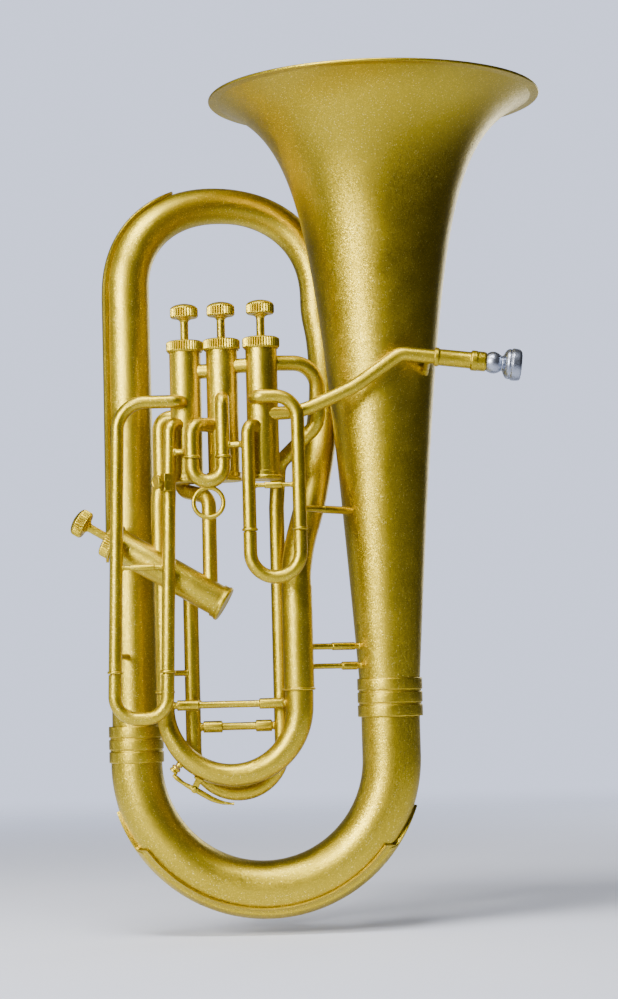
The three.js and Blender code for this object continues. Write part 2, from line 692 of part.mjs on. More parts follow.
function slide2() {
  const { y, ferrule: end, radius } = SLIDE2;
  const [leftX, rightX] = LEG_X.slide2;
  const { slide2Left, slide2Right } = PORTS;
  const left = sleeve([slide2Left.from, [...slide2Left.to, 9], [leftX, y, end]], radius);
  const slide1Leg = [slide1LegX(1, 368), SLIDE1.y, 368];
  const towards1 = vector(slide1Leg).sub(vector([leftX, y, 368])).normalize();
  const from = vector([leftX, y, 368]).addScaledVector(towards1, radius - 0.8);
  const to = vector(slide1Leg).addScaledVector(towards1, -SLIDE1.radius - GAP);
  const stud12 = stay(from.toArray(), to.toArray(), 2.4);
  add("slide2_sleeve_left", joined(cut(left, casingCore(2)), stud12));

  const right = sleeve([slide2Right.from, [...slide2Right.to, 6.6], [rightX, y, end]], radius);
  const slide3Leg = vector([LEG_X.slide3[0], SLIDE3.y, 372]);
  const towards3 = slide3Leg.clone().sub(vector([rightX, y, 372])).normalize();
  const start = vector([rightX, y, 372]).addScaledVector(towards3, radius - 0.8);
  const stop = slide3Leg.addScaledVector(towards3, -SLIDE3.radius - GAP);
  const stud23 = stay(start.toArray(), stop.toArray(), 2.4);
  add("slide2_sleeve_right", joined(cut(right, casingCore(2)), stud23));

  const leg = legRadius(radius);
  const bow = crook([leftX, y, end], [rightX, y, end], DOWN, SLIDE2, [leg, leg], [radius, radius]);
  const ringRadius = 11.6;
  const ringCentre = end - SLIDE2.depth - radius - ringRadius + 0.6;
  const ring = new THREE.TorusGeometry(ringRadius, 1.6, 5, 12).rotateX(Math.PI / 2);
  ring.translate((leftX + rightX) / 2, y, ringCentre);
  add("slide2_crook", joined(bow, ring));
}

function slide3() {
  const { y, ferrule: end, radius } = SLIDE3;
  const [leftX, rightX] = LEG_X.slide3;
  const { slide3Left, slide3Right } = PORTS;
  const left = sleeve([slide3Left.from, [...slide3Left.to, 7.5], [leftX, y, end]], radius);
  const brace = stay([leftX + radius - 0.9, y, 339.5], [rightX - radius - GAP, y, 339.5], 2.4);
  add("slide3_sleeve_left", joined(cut(left, casingCore(3)), brace));

  const rightCorners = [
    slide3Right.from,
    [...slide3Right.to, 7],
    [rightX, y, slide3Right.to[2], 18],
    [rightX, y, end],
  ];
  const right = cut(sleeve(rightCorners, radius), casingCore(3));
  const bellStay = stay([rightX + 3, y + 4, 321], [74.5, -19, 321], 2.6);
  add("slide3_sleeve_right", joined(right, cut(bellStay, bellKeepOut())));

  const leg = legRadius(radius);
  const sleeves = [[leftX, y, end], [rightX, y, end]];
  add("slide3_crook", crook(...sleeves, DOWN, SLIDE3, [leg, leg], [radius, radius]));
}

function slide4() {
  const { y, ferrule: end, radius } = SLIDE4;
  const [leftX, rightX] = LEG_X.slide4;
  const { slide4Left, slide4Right } = PORTS;
  const left = sleeve([slide4Left.from, [...slide4Left.to, 8], [leftX, y, end]], radius);
  const mainLeg = vector([LEG_X.main[0], MAIN.y, 196]);
  const here = vector([leftX, y, 196]);
  const towards = mainLeg.clone().sub(here).normalize();
  const from = here.clone().addScaledVector(towards, radius - 0.8);
  const to = mainLeg.addScaledVector(towards, -MAIN.leftRadius - GAP);
  add("slide4_sleeve_left", joined(cut(left, casingCore(4)), stay(from.toArray(), to.toArray(), 2.4)));

  const returnCorners = [
    slide4Right.from,
    [...slide4Right.to, 20],
    [49.2, -29, 390, 20],
    [rightX + 2.5, y - 0.5, 360, 15],
    [rightX, y, 325, 40],
    [rightX, y, end],
  ];
  const right = cut(sleeve(returnCorners, radius), casingCore(3));
  add("slide4_sleeve_right", right);

  const leg = legRadius(radius);
  const bow = crook([leftX, y, end], [rightX, y, end], DOWN, SLIDE4, [leg, leg], [radius, radius]);
  const brace = stay([leftX + radius - 0.9, y, 153], [rightX - radius + 0.9, y, 153], 2.6);
  add("slide4_crook", joined(bow, brace));
}

function mainTuningSlide() {
  const { y, ferrule: end, leftRadius, rightRadius } = MAIN;
  const [leftX, rightX] = LEG_X.main;
  const left = sleeve([PORTS.mainLeft.from, [leftX, y, end]], leftRadius, MAIN_SIDES);
  add("main_sleeve_left", cut(left, casingCore(4)));

  const right = sleeve([[rightX, y, MAIN_SLEEVE_TOP], [rightX, y, end]], rightRadius, MAIN_SIDES);
  const towards = vector([HALF_WIDTH, 0, 0]).sub(vector([rightX, y, 0])).normalize();
  const bellStays = [214, 198.5].map((z) => {
    const from = vector([rightX, y, z]).addScaledVector(towards, rightRadius - 0.8);
    const to = vector([HALF_WIDTH, 0, z]).addScaledVector(towards, -BELL_FERRULE.outer + 3);
    return cut(stay(from.toArray(), to.toArray(), 2.4), bellKeepOut());
  });
  add("main_sleeve_right", joined(right, ...bellStays));

  const legs = [legRadius(leftRadius), legRadius(rightRadius)];
  const sleeves = [[leftX, y, end], [rightX, y, end]];
  const bow = crook(...sleeves, DOWN, MAIN, legs, [leftRadius, MAIN_BOW_END_RADIUS], MAIN_SIDES);
  const brace = stay([leftX + leftRadius - 0.8, y, 170.5], [rightX - 9.9, y, 170.5], 2.4);
  const nipple = rod(keyPadSpot(mainBowSurface - 4.4), keyPadSpot(mainBowSurface + 1.8), 2.8, 12);
  add("main_crook", joined(bow, brace, nipple));
}

// ---------------------------------------------------------------- connecting tubes
function connectingTubes() {
  const between = ({ from, to, radius }) => pipe(stations([vector(from), vector(to)], radius));
  add("valve1_valve2_tube", cut(between(PORTS.valve1To2), casingCore(1), casingCore(2)));
  add("valve2_valve3_tube", cut(between(PORTS.valve2To3), casingCore(2), casingCore(3)));

  const { valve1To4, valve4From1, returnFrom1, returnTo4 } = PORTS;
  const toValve4 = [
    valve1To4.from,
    [...valve1To4.to, 8.5],
    [-74.9, -32, 350, 14],
    [...valve4From1.to, 14],
    valve4From1.from,
  ];
  const tapering = pipe(stations(route(toValve4), valve1To4.radius, valve4From1.radius));
  add("valve1_valve4_tube", cut(tapering, casingCore(1), casingCore(4)));

  const lowerReturn = [
    returnFrom1.from,
    [...returnFrom1.to, 8],
    [-59.5, -15, 341, 8],
    [-38, -33, 334, 10],
    [-38, -38, 262],
  ];
  const backTube = pipe(stations(route(lowerReturn), returnTo4.radius));
  add("valve1_valve4_return", cut(backTube, casingCore(1), casingCore(4)));
}

// ---------------------------------------------------------------- leadpipe and mouthpiece
const slope = radians(RECEIVER_SLOPE);
const receiverDirection = new THREE.Vector3(Math.cos(slope), 0, -Math.sin(slope));
const alongReceiver = vector(RECEIVER_START).add(receiverDirection).toArray();

function leadpipe() {
  const corners = [
    PORTS.leadpipe.from,
    [...PORTS.leadpipe.to, 60],
    [78, LEADPIPE_Y, 415.5, 90],
    [115.5, LEADPIPE_Y, 441.6, 14],
    RECEIVER_START,
  ];
  const tube = cut(pipe(stations(route(corners), PORTS.leadpipe.radius, 5.6)), casingCore(3));
  const bellStay = stay([137.2, LEADPIPE_Y + 4, 435.4], [136, -21, 428], 2.4);
  add("leadpipe", joined(tube, cut(bellStay, bellKeepOut())));

  const profile = [
    [5.4, GAP],
    [7.2, GAP + 4.5],
    [7.2, 7],
    [6.6, 7.5],
    [6.6, 29],
    [7.8, 29.5],
    [7.8, 41],
    [5.9, 41],
    [5.4, GAP],
  ];
  add("mouthpiece_receiver", turnedAlong(RECEIVER_START, alongReceiver, profile, 14));
}

function mouthpiece() {
  const outside = [
    [4.4, 9],
    [5.3, 41.4],
    [7.4, 42.2],
    [8.6, 46.4],
    [7.2, 50.8],
    [5.9, 52.6],
    [12.2, 56.6],
    [12.8, 60],
    [12.5, 63.4],
    [12.2, 66.6],
    [11.6, 68.6],
  ];
  const inside = [
    [8.6, 68.6],
    [7.2, 60],
    [2, 52.8],
    [3.3, 9],
    [4.4, 9],
  ];
  add("mouthpiece", turnedAlong(RECEIVER_START, alongReceiver, [...outside, ...inside], 16), SILVER);
}

// ---------------------------------------------------------------- water key and lyre holder
const MAIN_BOW_CENTRE = [(LEG_X.main[0] + LEG_X.main[1]) / 2, MAIN.ferrule - MAIN.depth + MAIN.bend];
const KEY_ANGLE = 243; // where the key's saddle sits on the main tuning slide's bow, in degrees
const KEY_PAD_TURN = -17.5; // from the saddle round the bow to the pad
const KEY_PIVOT = 8.9; // from the bow's surface to the key's pin
const mainBowSurface = MAIN.bend + 8.3 + GAP; // from the bow's centre, near the key
const keySpot = (distance, along) => [
  MAIN_BOW_CENTRE[0] + distance * Math.cos(radians(KEY_ANGLE)) - along * Math.sin(radians(KEY_ANGLE)),
  MAIN.y,
  MAIN_BOW_CENTRE[1] + distance * Math.sin(radians(KEY_ANGLE)) + along * Math.cos(radians(KEY_ANGLE)),
];
const keyPadSpot = (distance) =>
  keySpot(distance * Math.cos(radians(KEY_PAD_TURN)), distance * Math.sin(radians(KEY_PAD_TURN)));

function box(centre, size, angle = 0) {
  return new THREE.BoxGeometry(...size).rotateY(-angle).translate(...centre);
}

function waterKey() {
  const surface = mainBowSurface;
  const top = MAIN.ferrule - MAIN.depth;
  const bend = [
    [LEG_X.main[0], MAIN.y, MAIN.ferrule],
    [LEG_X.main[0], MAIN.y, top, MAIN.bend],
    [LEG_X.main[1], MAIN.y, top, MAIN.bend],
    [LEG_X.main[1], MAIN.y, MAIN.ferrule],
  ];
  const [startRadius, endRadius] = [MAIN.leftRadius + GAP, MAIN_BOW_END_RADIUS + GAP];
  const bowKeepOut = pipe(stations(route(bend, radians(12)), startRadius, endRadius, 3), 24);
  const offset = ([x, y, z], side) => [x, y + side, z];
  const turn = radians(KEY_ANGLE);
  const post = (side) => box(offset(keySpot(surface + 5.4, 0), side), [11.8, 1.4, 5.4], turn);
  const foot = box(keySpot(surface - 0.2, 0), [2.4, 8.6, 5.4], turn);
  const spot = keySpot(surface + KEY_PIVOT, 0.8);
  const pin = rod(offset(spot, -4.8), offset(spot, 4.8), 0.8, 6);
  add("water_key_saddle", cut(joined(foot, post(-3.6), post(3.6), pin), bowKeepOut));

  const leverRoute = route([
    keySpot(surface + 3.8, -20.4),
    [...keySpot(surface + 8.4, -10), 10],
    [...keySpot(surface + 8.9, 2), 12],
    [...keySpot(surface + 9.8, 19), 14],
    keySpot(surface + 5.9, 33),
  ]);
  const lever = pipe(leverRoute.map((point) => ({ point, outer: 1.5, bore: 0 })));
  const barrel = rod(offset(spot, -2.5), offset(spot, 2.5), 2.2, 8);
  const bore = rod(offset(spot, -6), offset(spot, 6), 1.15, 8);
  const cup = rod(keyPadSpot(surface + 2.2), keyPadSpot(surface + 7.4), 3.9, 12);
  add("water_key_lever", cut(joined(lever, barrel, cup), bore, bowKeepOut));
}

function lyreHolder() {
  const centre = [-69.4, -66.3, 343.8];
  const turn = radians(35); // the screw faces the player's left hand
  const towards = vector([-Math.cos(turn), -Math.sin(turn), 0]);
  const block = box([0, 0, 0], [7.6, 7, 13.6]);
  const slot = box([0.6, 0, 0], [3.2, 3.4, 20]);
  const screwHole = rod([-8, 0, 0], [0, 0, 0], 1.7, 12);
  const clamp = cut(block, slot, screwHole).rotateZ(turn).translate(...centre);
  const sleeveX = slide1LegX(1, centre[2]);
  const bracket = box([sleeveX, SLIDE1.y - SLIDE1.radius - 0.9, centre[2]], [4.6, 2.2, 11]);
  const coreRadius = SLIDE1.radius + GAP + 0.2;
  const legCore = rod([sleeveX, SLIDE1.y, centre[2] - 20], [sleeveX, SLIDE1.y, centre[2] + 20], coreRadius, 24);
  add("lyre_holder", cut(joined(clamp, bracket), legCore));

  const start = vector(centre).addScaledVector(towards, 10.4).toArray();
  const profile = [[0, 0], [5.6, 0], [5.6, 3.2], [2.4, 3.6], [2.4, 5.6], [1.4, 5.8], [1.4, 10.6], [0, 10.6]];
  add("lyre_screw", turnedAlong(start, centre, profile, 10), STEEL);
}

// ---------------------------------------------------------------- assembly
bell();
ferrule("bell_ferrule", HALF_WIDTH, BELL_FERRULE, 24, 25.1, 2);
bottomBow();
bowGuard();
ferrule("branch_ferrule", -HALF_WIDTH, BRANCH_FERRULE, 20.9, 20.9, 2);
outerBranch();
topBow();
branchGuard();
innerBranch();
valve(1, ["slide1Left", "slide1Right", "valve1To2", "valve1To4", "returnFrom1"], 33);
valve(2, ["slide2Left", "slide2Right", "valve1To2", "valve2To3"], 27);
valve(3, ["slide3Left", "slide3Right", "valve2To3", "slide4Right", "leadpipe"], 27);
valve(4, ["valve4From1", "returnTo4", "mainLeft", "slide4Left"]);
slide1();
slide2();
slide3();
slide4();
mainTuningSlide();
connectingTubes();
leadpipe();
mouthpiece();
waterKey();
lyreHolder();

export default euphonium;
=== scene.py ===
"""The looks of a compensating euphonium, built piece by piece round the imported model.

Shapes are worked out in millimetres in the model's own frame, and made() turns them into metres.
"""
import math

import bmesh
import bpy
import numpy as np
from mathutils import Matrix, Quaternion, Vector


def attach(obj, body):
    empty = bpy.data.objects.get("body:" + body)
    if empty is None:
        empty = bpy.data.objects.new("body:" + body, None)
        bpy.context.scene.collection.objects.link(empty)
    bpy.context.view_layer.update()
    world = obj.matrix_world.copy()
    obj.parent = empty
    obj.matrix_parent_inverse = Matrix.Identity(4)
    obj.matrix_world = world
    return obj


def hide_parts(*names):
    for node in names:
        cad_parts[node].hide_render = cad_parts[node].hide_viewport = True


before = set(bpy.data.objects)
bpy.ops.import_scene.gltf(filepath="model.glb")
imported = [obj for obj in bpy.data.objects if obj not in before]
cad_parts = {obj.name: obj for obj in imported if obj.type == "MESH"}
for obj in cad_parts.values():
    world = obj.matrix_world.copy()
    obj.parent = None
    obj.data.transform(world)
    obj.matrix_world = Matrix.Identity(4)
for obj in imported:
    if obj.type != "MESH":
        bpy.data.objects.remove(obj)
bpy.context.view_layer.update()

MM = 0.001
WALL = 0.8
RUNNING_GAP = 0.3  # between a slide's leg and its sleeve, on the radius
PISTON_GAP = 0.35  # between a piston and its casing, on the radius
CASING_SEAT = 0.35  # how far a tube's end reaches under a casing's surface

# ------------------------------------------------------------------ driving dimensions, close to the model's
HALF_WIDTH = 101.5
BOW_TOP_RADIUS = {"bell": 23.4, "branch": 20.3}
GUARD_REACH = 2.4  # from the bottom bow to the outer face of its guard
GUARD_FACE = 1.5  # from a tube to the outer face of its guard, beside the raised band and lip
GUARD_STEP = 0.85  # height of the raised band and of the lip
BOW_CENTRE_Z = HALF_WIDTH + sum(BOW_TOP_RADIUS.values()) / 2 + GUARD_REACH
BELL_RIM = {"z": 658.0, "radius": 134.0}
BELL_JOINT_Z = 172.5
BELL_FERRULE = {"low": 157.5, "high": 188.0, "outer": 26.0, "bore": (24.0, 25.1)}
BRANCH_JOINT_Z = 139.0
BRANCH_FERRULE = {"low": 126.0, "high": 155.0, "outer": 21.8, "bore": (20.6, 20.6)}
BRANCH_RADIUS = {"low": 18.9, "high": 17.8}
TOP_BOW = {"left": -HALF_WIDTH, "right": 52.0, "low": 503.0, "rise": 76.0, "depth": 51.0, "squareness": 2.15}
TOP_BOW_END_RADIUS = 14.2
MAIN_BORE_RADIUS = 11.6
CASING_RADIUS = 12.5
CASING_BORE = 11.6
CAP_SKIRT = 9.5  # from a top cap's lower edge to its top
LOOP_RADIUS = 4.6  # of the compensating loops behind valves 1 to 3
BUTTON_GAP = 18.0
VALVES = [((-54.2, -37, 345), 113.0), ((-25, -43, 345), 113.0), ((6.3, -49, 345), 113.0)]
VALVE4 = {"through": (-80, -36.5, 280.4), "slope": 31, "lean": 3, "low": 62.0, "high": 46.0}
SLIDE1 = {"y": -55.5, "lean": 1.7, "end": 196.0, "depth": 35.0, "bend": 17.5, "radius": 5.2, "reach": 70.0}
SLIDE2 = {"y": -63.4, "end": 362.0, "depth": 18.0, "bend": 12.0, "radius": 5.6, "reach": 17.0}
SLIDE3 = {"y": -68.0, "end": 304.0, "depth": 36.0, "bend": 19.4, "radius": 5.3, "reach": 60.0}
SLIDE4 = {"y": -16.0, "end": 172.0, "depth": 71.5, "bend": 34.9, "radius": 6.1, "reach": 52.0}
MAIN = {"y": -32.0, "end": 180.0, "depth": 65.0, "bend": 52.6, "left": 6.8, "right": 12.0, "reach": 60.0}
MAIN_SLEEVE_TOP = 262.0
LEG_X = {
    "slide1": (-107.3, -66.3),
    "slide2": (-49.2, -25.0),
    "slide3": (-5.3, 33.6),
    "slide4": (-55.0, 15.0),
    "main": (-75.8, 29.5),
}
SLIDE1_LEVEL = 390.0
LEADPIPE_Y = -55.0
RECEIVER_START = (142.0, LEADPIPE_Y, 438.0)
RECEIVER_SLOPE = 7.2
DOWN = Vector((0, 0, -1))
UP = Vector((0, 0, 1))

# ------------------------------------------------------------------ driving values of the looks
FLAKES_PER_METRE = 1900.0
FLAKE_TILT = 0.20
# Painted glints: how close together the bright specks painted into the gold's colour stand, and their colour
PAINTED_GLINTS_PER_METRE = 760.0
PAINTED_GLINT_COLOUR = (1.0, 0.86, 0.20, 1)
FLOOR_REACH = 2.7
FLOOR_CENTRE = (0, 0.45, 0)
FLOOR_LEVEL = -0.012  # a little under the instrument, which stays clear of the floor
BACKDROP = (1.06, 1.16, 1.50, 1)
CAMERA_PLACE = (0.0410, -2.080, 0.18037)
CAMERA_PITCH, CAMERA_ROLL = math.radians(4.18), math.radians(-1.5)
CAMERA_SENSOR, CAMERA_LENS = 36.0, 93.7


# ------------------------------------------------------------------ materials
def new_material(name, **inputs):
    material = bpy.data.materials.new(name)
    material.use_nodes = True
    shader = material.node_tree.nodes["Principled BSDF"]
    for socket, value in inputs.items():
        shader.inputs[socket.replace("_", " ")].default_value = value
    return material, material.node_tree, shader


def add_node(tree, kind, inputs=None, **settings):
    """A shader node, with each input given as a constant or as the socket that it's linked from."""
    node = tree.nodes.new(kind)
    for name, value in settings.items():
        setattr(node, name, value)
    for socket, value in (inputs or {}).items():
        if isinstance(value, bpy.types.NodeSocket):
            tree.links.new(value, node.inputs[socket])
        else:
            node.inputs[socket].default_value = value
    return node


def ramp(tree, source, stops):
    node = add_node(tree, "ShaderNodeValToRGB", {"Fac": source})
    elements = node.color_ramp.elements
    while len(elements) < len(stops):
        elements.new(0.5)
    for element, (position, colour) in zip(elements, stops):
        element.position = position
        element.color = (*colour, 1)
    return node.outputs["Color"]


def noise(tree, where, scale, detail=3.0):
    inputs = {"Vector": where, "Scale": scale, "Detail": detail}
    return add_node(tree, "ShaderNodeTexNoise", inputs).outputs["Fac"]


def voronoi(tree, where, scale):
    return add_node(tree, "ShaderNodeTexVoronoi", {"Vector": where, "Scale": scale}, feature="F1")


def channel(tree, colour, index):
    return add_node(tree, "ShaderNodeSeparateColor", {0: colour}).outputs[index]


def vector_math(tree, operation, inputs):
    return add_node(tree, "ShaderNodeVectorMath", inputs, operation=operation)


def add_bump(tree, shader, height, strength, distance):
    inputs = {"Height": height, "Strength": strength, "Distance": distance}
    bump = add_node(tree, "ShaderNodeBump", inputs)
    tree.links.new(bump.outputs["Normal"], shader.inputs["Normal"])


def flake_gold():
    """Satin gold lacquer full of fine metal flakes, each tilted its own way, under a thin clear coat, with
    sparse bright specks mixed into the base colour as painted glints.
    """
    material, tree, shader = new_material(
        "flake_gold", Metallic=1.0, Coat_Weight=0.12, Coat_Roughness=0.25, Coat_IOR=1.5
    )
    where = add_node(tree, "ShaderNodeTexCoord").outputs["Object"]
    cells = voronoi(tree, where, FLAKES_PER_METRE).outputs["Color"]

    tilt = vector_math(tree, "SUBTRACT", {0: cells, 1: (0.5, 0.5, 0.5)})
    small = vector_math(tree, "SCALE", {0: tilt.outputs[0], "Scale": FLAKE_TILT})
    surface = add_node(tree, "ShaderNodeNewGeometry").outputs["Normal"]
    tilted = vector_math(tree, "ADD", {0: surface, 1: small.outputs[0]})
    normal = vector_math(tree, "NORMALIZE", {0: tilted.outputs[0]})
    tree.links.new(normal.outputs[0], shader.inputs["Normal"])

    patches = noise(tree, where, 14.0, 4.0)
    base = ramp(tree, patches, [(0.3, (0.53, 0.392, 0.020)), (0.7, (0.61, 0.462, 0.032))])
    dull_to_bright = [(0.0, (0.80, 0.79, 0.70)), (0.85, (1, 1, 1)), (1.0, (1.55, 1.55, 1.6))]
    flakes = ramp(tree, channel(tree, cells, 0), dull_to_bright)
    inputs = {"Factor": 1.0, "A": base, "B": flakes}
    flaked = add_node(tree, "ShaderNodeMix", inputs, data_type="RGBA", blend_type="MULTIPLY")

    # Painted glints: sparse bright yellow specks mixed into the base colour, standing in for the sparkle of
    # light off the flakes
    painted_glint_cells = voronoi(tree, where, PAINTED_GLINTS_PER_METRE)
    chosen = channel(tree, painted_glint_cells.outputs["Color"], 1)
    spot = ramp(tree, painted_glint_cells.outputs["Distance"], [(0.22, (1, 1, 1)), (0.36, (0, 0, 0))])
    some = ramp(tree, chosen, [(0.66, (0, 0, 0)), (0.95, (1, 1, 1))])
    painted_glint_mask = add_node(tree, "ShaderNodeMath", {0: spot, 1: some}, operation="MULTIPLY").outputs[0]
    inputs = {"Factor": painted_glint_mask, "A": flaked.outputs["Result"], "B": PAINTED_GLINT_COLOUR}
    painted_glint = add_node(tree, "ShaderNodeMix", inputs, data_type="RGBA")
    tree.links.new(painted_glint.outputs["Result"], shader.inputs["Base Color"])

    rough = ramp(tree, noise(tree, where, 60.0, 5.0), [(0.25, (0.35,) * 3), (0.75, (0.44,) * 3)])
    tree.links.new(rough, shader.inputs["Roughness"])
    return material


def satin_metal(name, low, high, roughness, scale):
    """A plated metal whose colour and gloss vary a little over it, with fine bead-blast bumps."""
    material, tree, shader = new_material(name, Metallic=1.0)
    where = add_node(tree, "ShaderNodeTexCoord").outputs["Object"]
    colour = ramp(tree, noise(tree, where, 90.0), [(0.3, low), (0.7, high)])
    tree.links.new(colour, shader.inputs["Base Color"])
    grain = noise(tree, where, scale, 2.0)
    gloss = ramp(tree, grain, [(0.2, (roughness - 0.05,) * 3), (0.8, (roughness + 0.08,) * 3)])
    tree.links.new(gloss, shader.inputs["Roughness"])
    add_bump(tree, shader, grain, 0.12, 0.0001)
    return material


def cork_material():
    material, tree, shader = new_material("cork", Roughness=0.85)
    where = add_node(tree, "ShaderNodeTexCoord").outputs["Object"]
    grain = noise(tree, where, 1800.0, 6.0)
    colour = ramp(tree, grain, [(0.35, (0.16, 0.08, 0.035)), (0.6, (0.42, 0.26, 0.13))])
    tree.links.new(colour, shader.inputs["Base Color"])
    add_bump(tree, shader, grain, 0.5, 0.0002)
    return material


def floor_material():
    """Pale matt paint that fades out far from the middle, so that the floor has no hard edge."""
    material, tree, shader = new_material("floor_paint", Roughness=0.85)
    where = add_node(tree, "ShaderNodeTexCoord").outputs["Object"]
    shade = ramp(tree, noise(tree, where, 1.5), [(0.3, (0.82, 0.85, 0.97)), (0.7, (0.86, 0.89, 1.0))])
    tree.links.new(shade, shader.inputs["Base Color"])
    distance = vector_math(tree, "LENGTH", {0: where}).outputs["Value"]
    limits = {"Value": distance, "From Min": 0.1, "From Max": 2.5, "To Min": 1.0, "To Max": 0.0}
    fade = add_node(tree, "ShaderNodeMapRange", limits, interpolation_type="SMOOTHSTEP")
    tree.links.new(fade.outputs["Result"], shader.inputs["Alpha"])
    return material


GOLD = flake_gold()
SILVER = satin_metal("satin_silver", (0.36, 0.40, 0.50), (0.46, 0.50, 0.60), 0.34, 2500.0)
STEEL = satin_metal("lapped_steel", (0.50, 0.51, 0.52), (0.60, 0.60, 0.60), 0.24, 4000.0)
CORK = cork_material()


# ------------------------------------------------------------------ shapes: (vertices in millimetres, faces)
def joined(*shapes):
    vertices, faces, start = [], [], 0
    for points, polygons in shapes:
        vertices.append(np.asarray(points, float))
        faces += [tuple(i + start for i in polygon) for polygon in polygons]
        start += len(points)
    return np.vstack(vertices), faces


def placed(shape, origin, direction=UP):
    turn = UP.rotation_difference(Vector(direction).normalized())
    matrix = np.array(turn.to_matrix())
    return shape[0] @ matrix.T + np.array(origin, float), shape[1]


def rounded(profile, radius=0.4, steps=3):
    """A closed profile with its corners rounded off. Points on the axis stay."""
    points = [Vector(point) for point in profile]
    count = len(points)
    result = []
    for i, corner in enumerate(points):
        before, after = points[i - 1], points[(i + 1) % count]
        if corner.x < 1e-6:
            result.append(tuple(corner))
            continue
        to_before, to_after = before - corner, after - corner
        reach = min(radius, to_before.length * 0.48, to_after.length * 0.48)
        if to_before.angle(to_after) > math.radians(172):
            result.append(tuple(corner))
            continue
        a = corner + to_before.normalized() * reach
        b = corner + to_after.normalized() * reach
        for k in range(steps + 1):
            t = k / steps
            result.append(tuple(a * (1 - t) ** 2 + corner * (2 * t * (1 - t)) + b * t**2))
    return result


def lathe(profile, sides=64):
    """A closed profile of (radius, height) turned about Z."""
    rings, vertices, faces = [], [], []
    for radius, height in profile:
        if radius < 1e-6:
            rings.append([len(vertices)] * sides)
            vertices.append((0, 0, height))
            continue
        rings.append(list(range(len(vertices), len(vertices) + sides)))
        for k in range(sides):
            angle = 2 * math.pi * k / sides
            vertices.append((radius * math.cos(angle), radius * math.sin(angle), height))
    for i, ring in enumerate(rings):
        following = rings[(i + 1) % len(rings)]
        for k in range(sides):
            corners = (ring[k], ring[(k + 1) % sides], following[(k + 1) % sides], following[k])
            polygon = tuple(dict.fromkeys(corners))
            if len(polygon) > 2:
                faces.append(polygon)
    return np.array(vertices, float), faces


def knurled(shape, teeth, depth, inner, low, high):
    """Cuts straight V grooves into the outside of a turned shape, between two heights."""
    vertices = shape[0].copy()
    radius = np.hypot(vertices[:, 0], vertices[:, 1])
    angle = np.arctan2(vertices[:, 1], vertices[:, 0])
    groove = 1 - np.abs(((angle * teeth / (2 * np.pi)) % 1) * 2 - 1)
    fade = np.clip(np.minimum(vertices[:, 2] - low, high - vertices[:, 2]) / 0.5 + 1, 0, 1)
    sunk = np.where(radius > inner, depth * groove**0.8 * fade, 0)
    vertices[:, :2] *= ((radius - sunk) / np.maximum(radius, 1e-9))[:, None]
    return vertices, shape[1]


def route(corners, step=math.radians(5)):
    """A centreline through corners (x, y, z, bend radius), each inner corner rounded by an arc."""
    points = []
    for i, corner in enumerate(corners):
        here = Vector(corner[:3])
        if len(corner) < 4:
            points.append(here)
            continue
        back = (Vector(corners[i - 1][:3]) - here).normalized()
        ahead = (Vector(corners[i + 1][:3]) - here).normalized()
        turn = math.pi - back.angle(ahead)
        bend = corner[3]
        start = here + back * (bend * math.tan(turn / 2))
        centre = here + (back + ahead).normalized() * (bend / math.cos(turn / 2))
        spoke = start - centre
        axis = spoke.cross(-back).normalized()
        steps = max(2, math.ceil(turn / step))
        points += [centre + Quaternion(axis, turn * k / steps) @ spoke for k in range(steps + 1)]
    return points


def spline(points, count):
    """A centripetal Catmull-Rom curve through points, sampled evenly in each span."""
    points = [Vector(p) for p in points]
    ends = [points[0] * 2 - points[1], *points, points[-1] * 2 - points[-2]]
    result = []
    for i in range(1, len(ends) - 2):
        p0, p1, p2, p3 = ends[i - 1 : i + 3]
        t0 = 0.0
        t1 = t0 + (p1 - p0).length ** 0.5
        t2 = t1 + (p2 - p1).length ** 0.5
        t3 = t2 + (p3 - p2).length ** 0.5
        for k in range(count):
            t = t1 + (t2 - t1) * k / count
            a1 = p0 * ((t1 - t) / (t1 - t0)) + p1 * ((t - t0) / (t1 - t0))
            a2 = p1 * ((t2 - t) / (t2 - t1)) + p2 * ((t - t1) / (t2 - t1))
            a3 = p2 * ((t3 - t) / (t3 - t2)) + p3 * ((t - t2) / (t3 - t2))
            b1 = a1 * ((t2 - t) / (t2 - t0)) + a2 * ((t - t0) / (t2 - t0))
            b2 = a2 * ((t3 - t) / (t3 - t1)) + a3 * ((t - t1) / (t3 - t1))
            result.append(b1 * ((t2 - t) / (t2 - t1)) + b2 * ((t - t1) / (t2 - t1)))
    return [*result, points[-1]]


def fractions(points):
    run = [0.0]
    for a, b in zip(points, points[1:]):
        run.append(run[-1] + (b - a).length)
    return [distance / run[-1] for distance in run]


def stations(points, start, end=None):
    """Stations (point, outer, bore) of a tube that tapers from one outer radius to another."""
    end = start if end is None else end
    outers = [start + (end - start) * along for along in fractions(points)]
    return [(point, outer, outer - WALL) for point, outer in zip(points, outers)]


def beaded(stops, rise, length=2.4, steps=10):
    """Adds a half-round bead at the last end of a tube."""
    point, outer, bore = stops[-1]
    back = (stops[-2][0] - point).normalized()
    bead = [(point + back * (length + 0.3), outer, bore)]
    for k in range(steps + 1):
        t = k / steps
        bead.append((point + back * (length * (1 - t)), outer + rise * math.sin(math.pi * t) ** 0.55, bore))
    return [*stops[:-1], *bead]


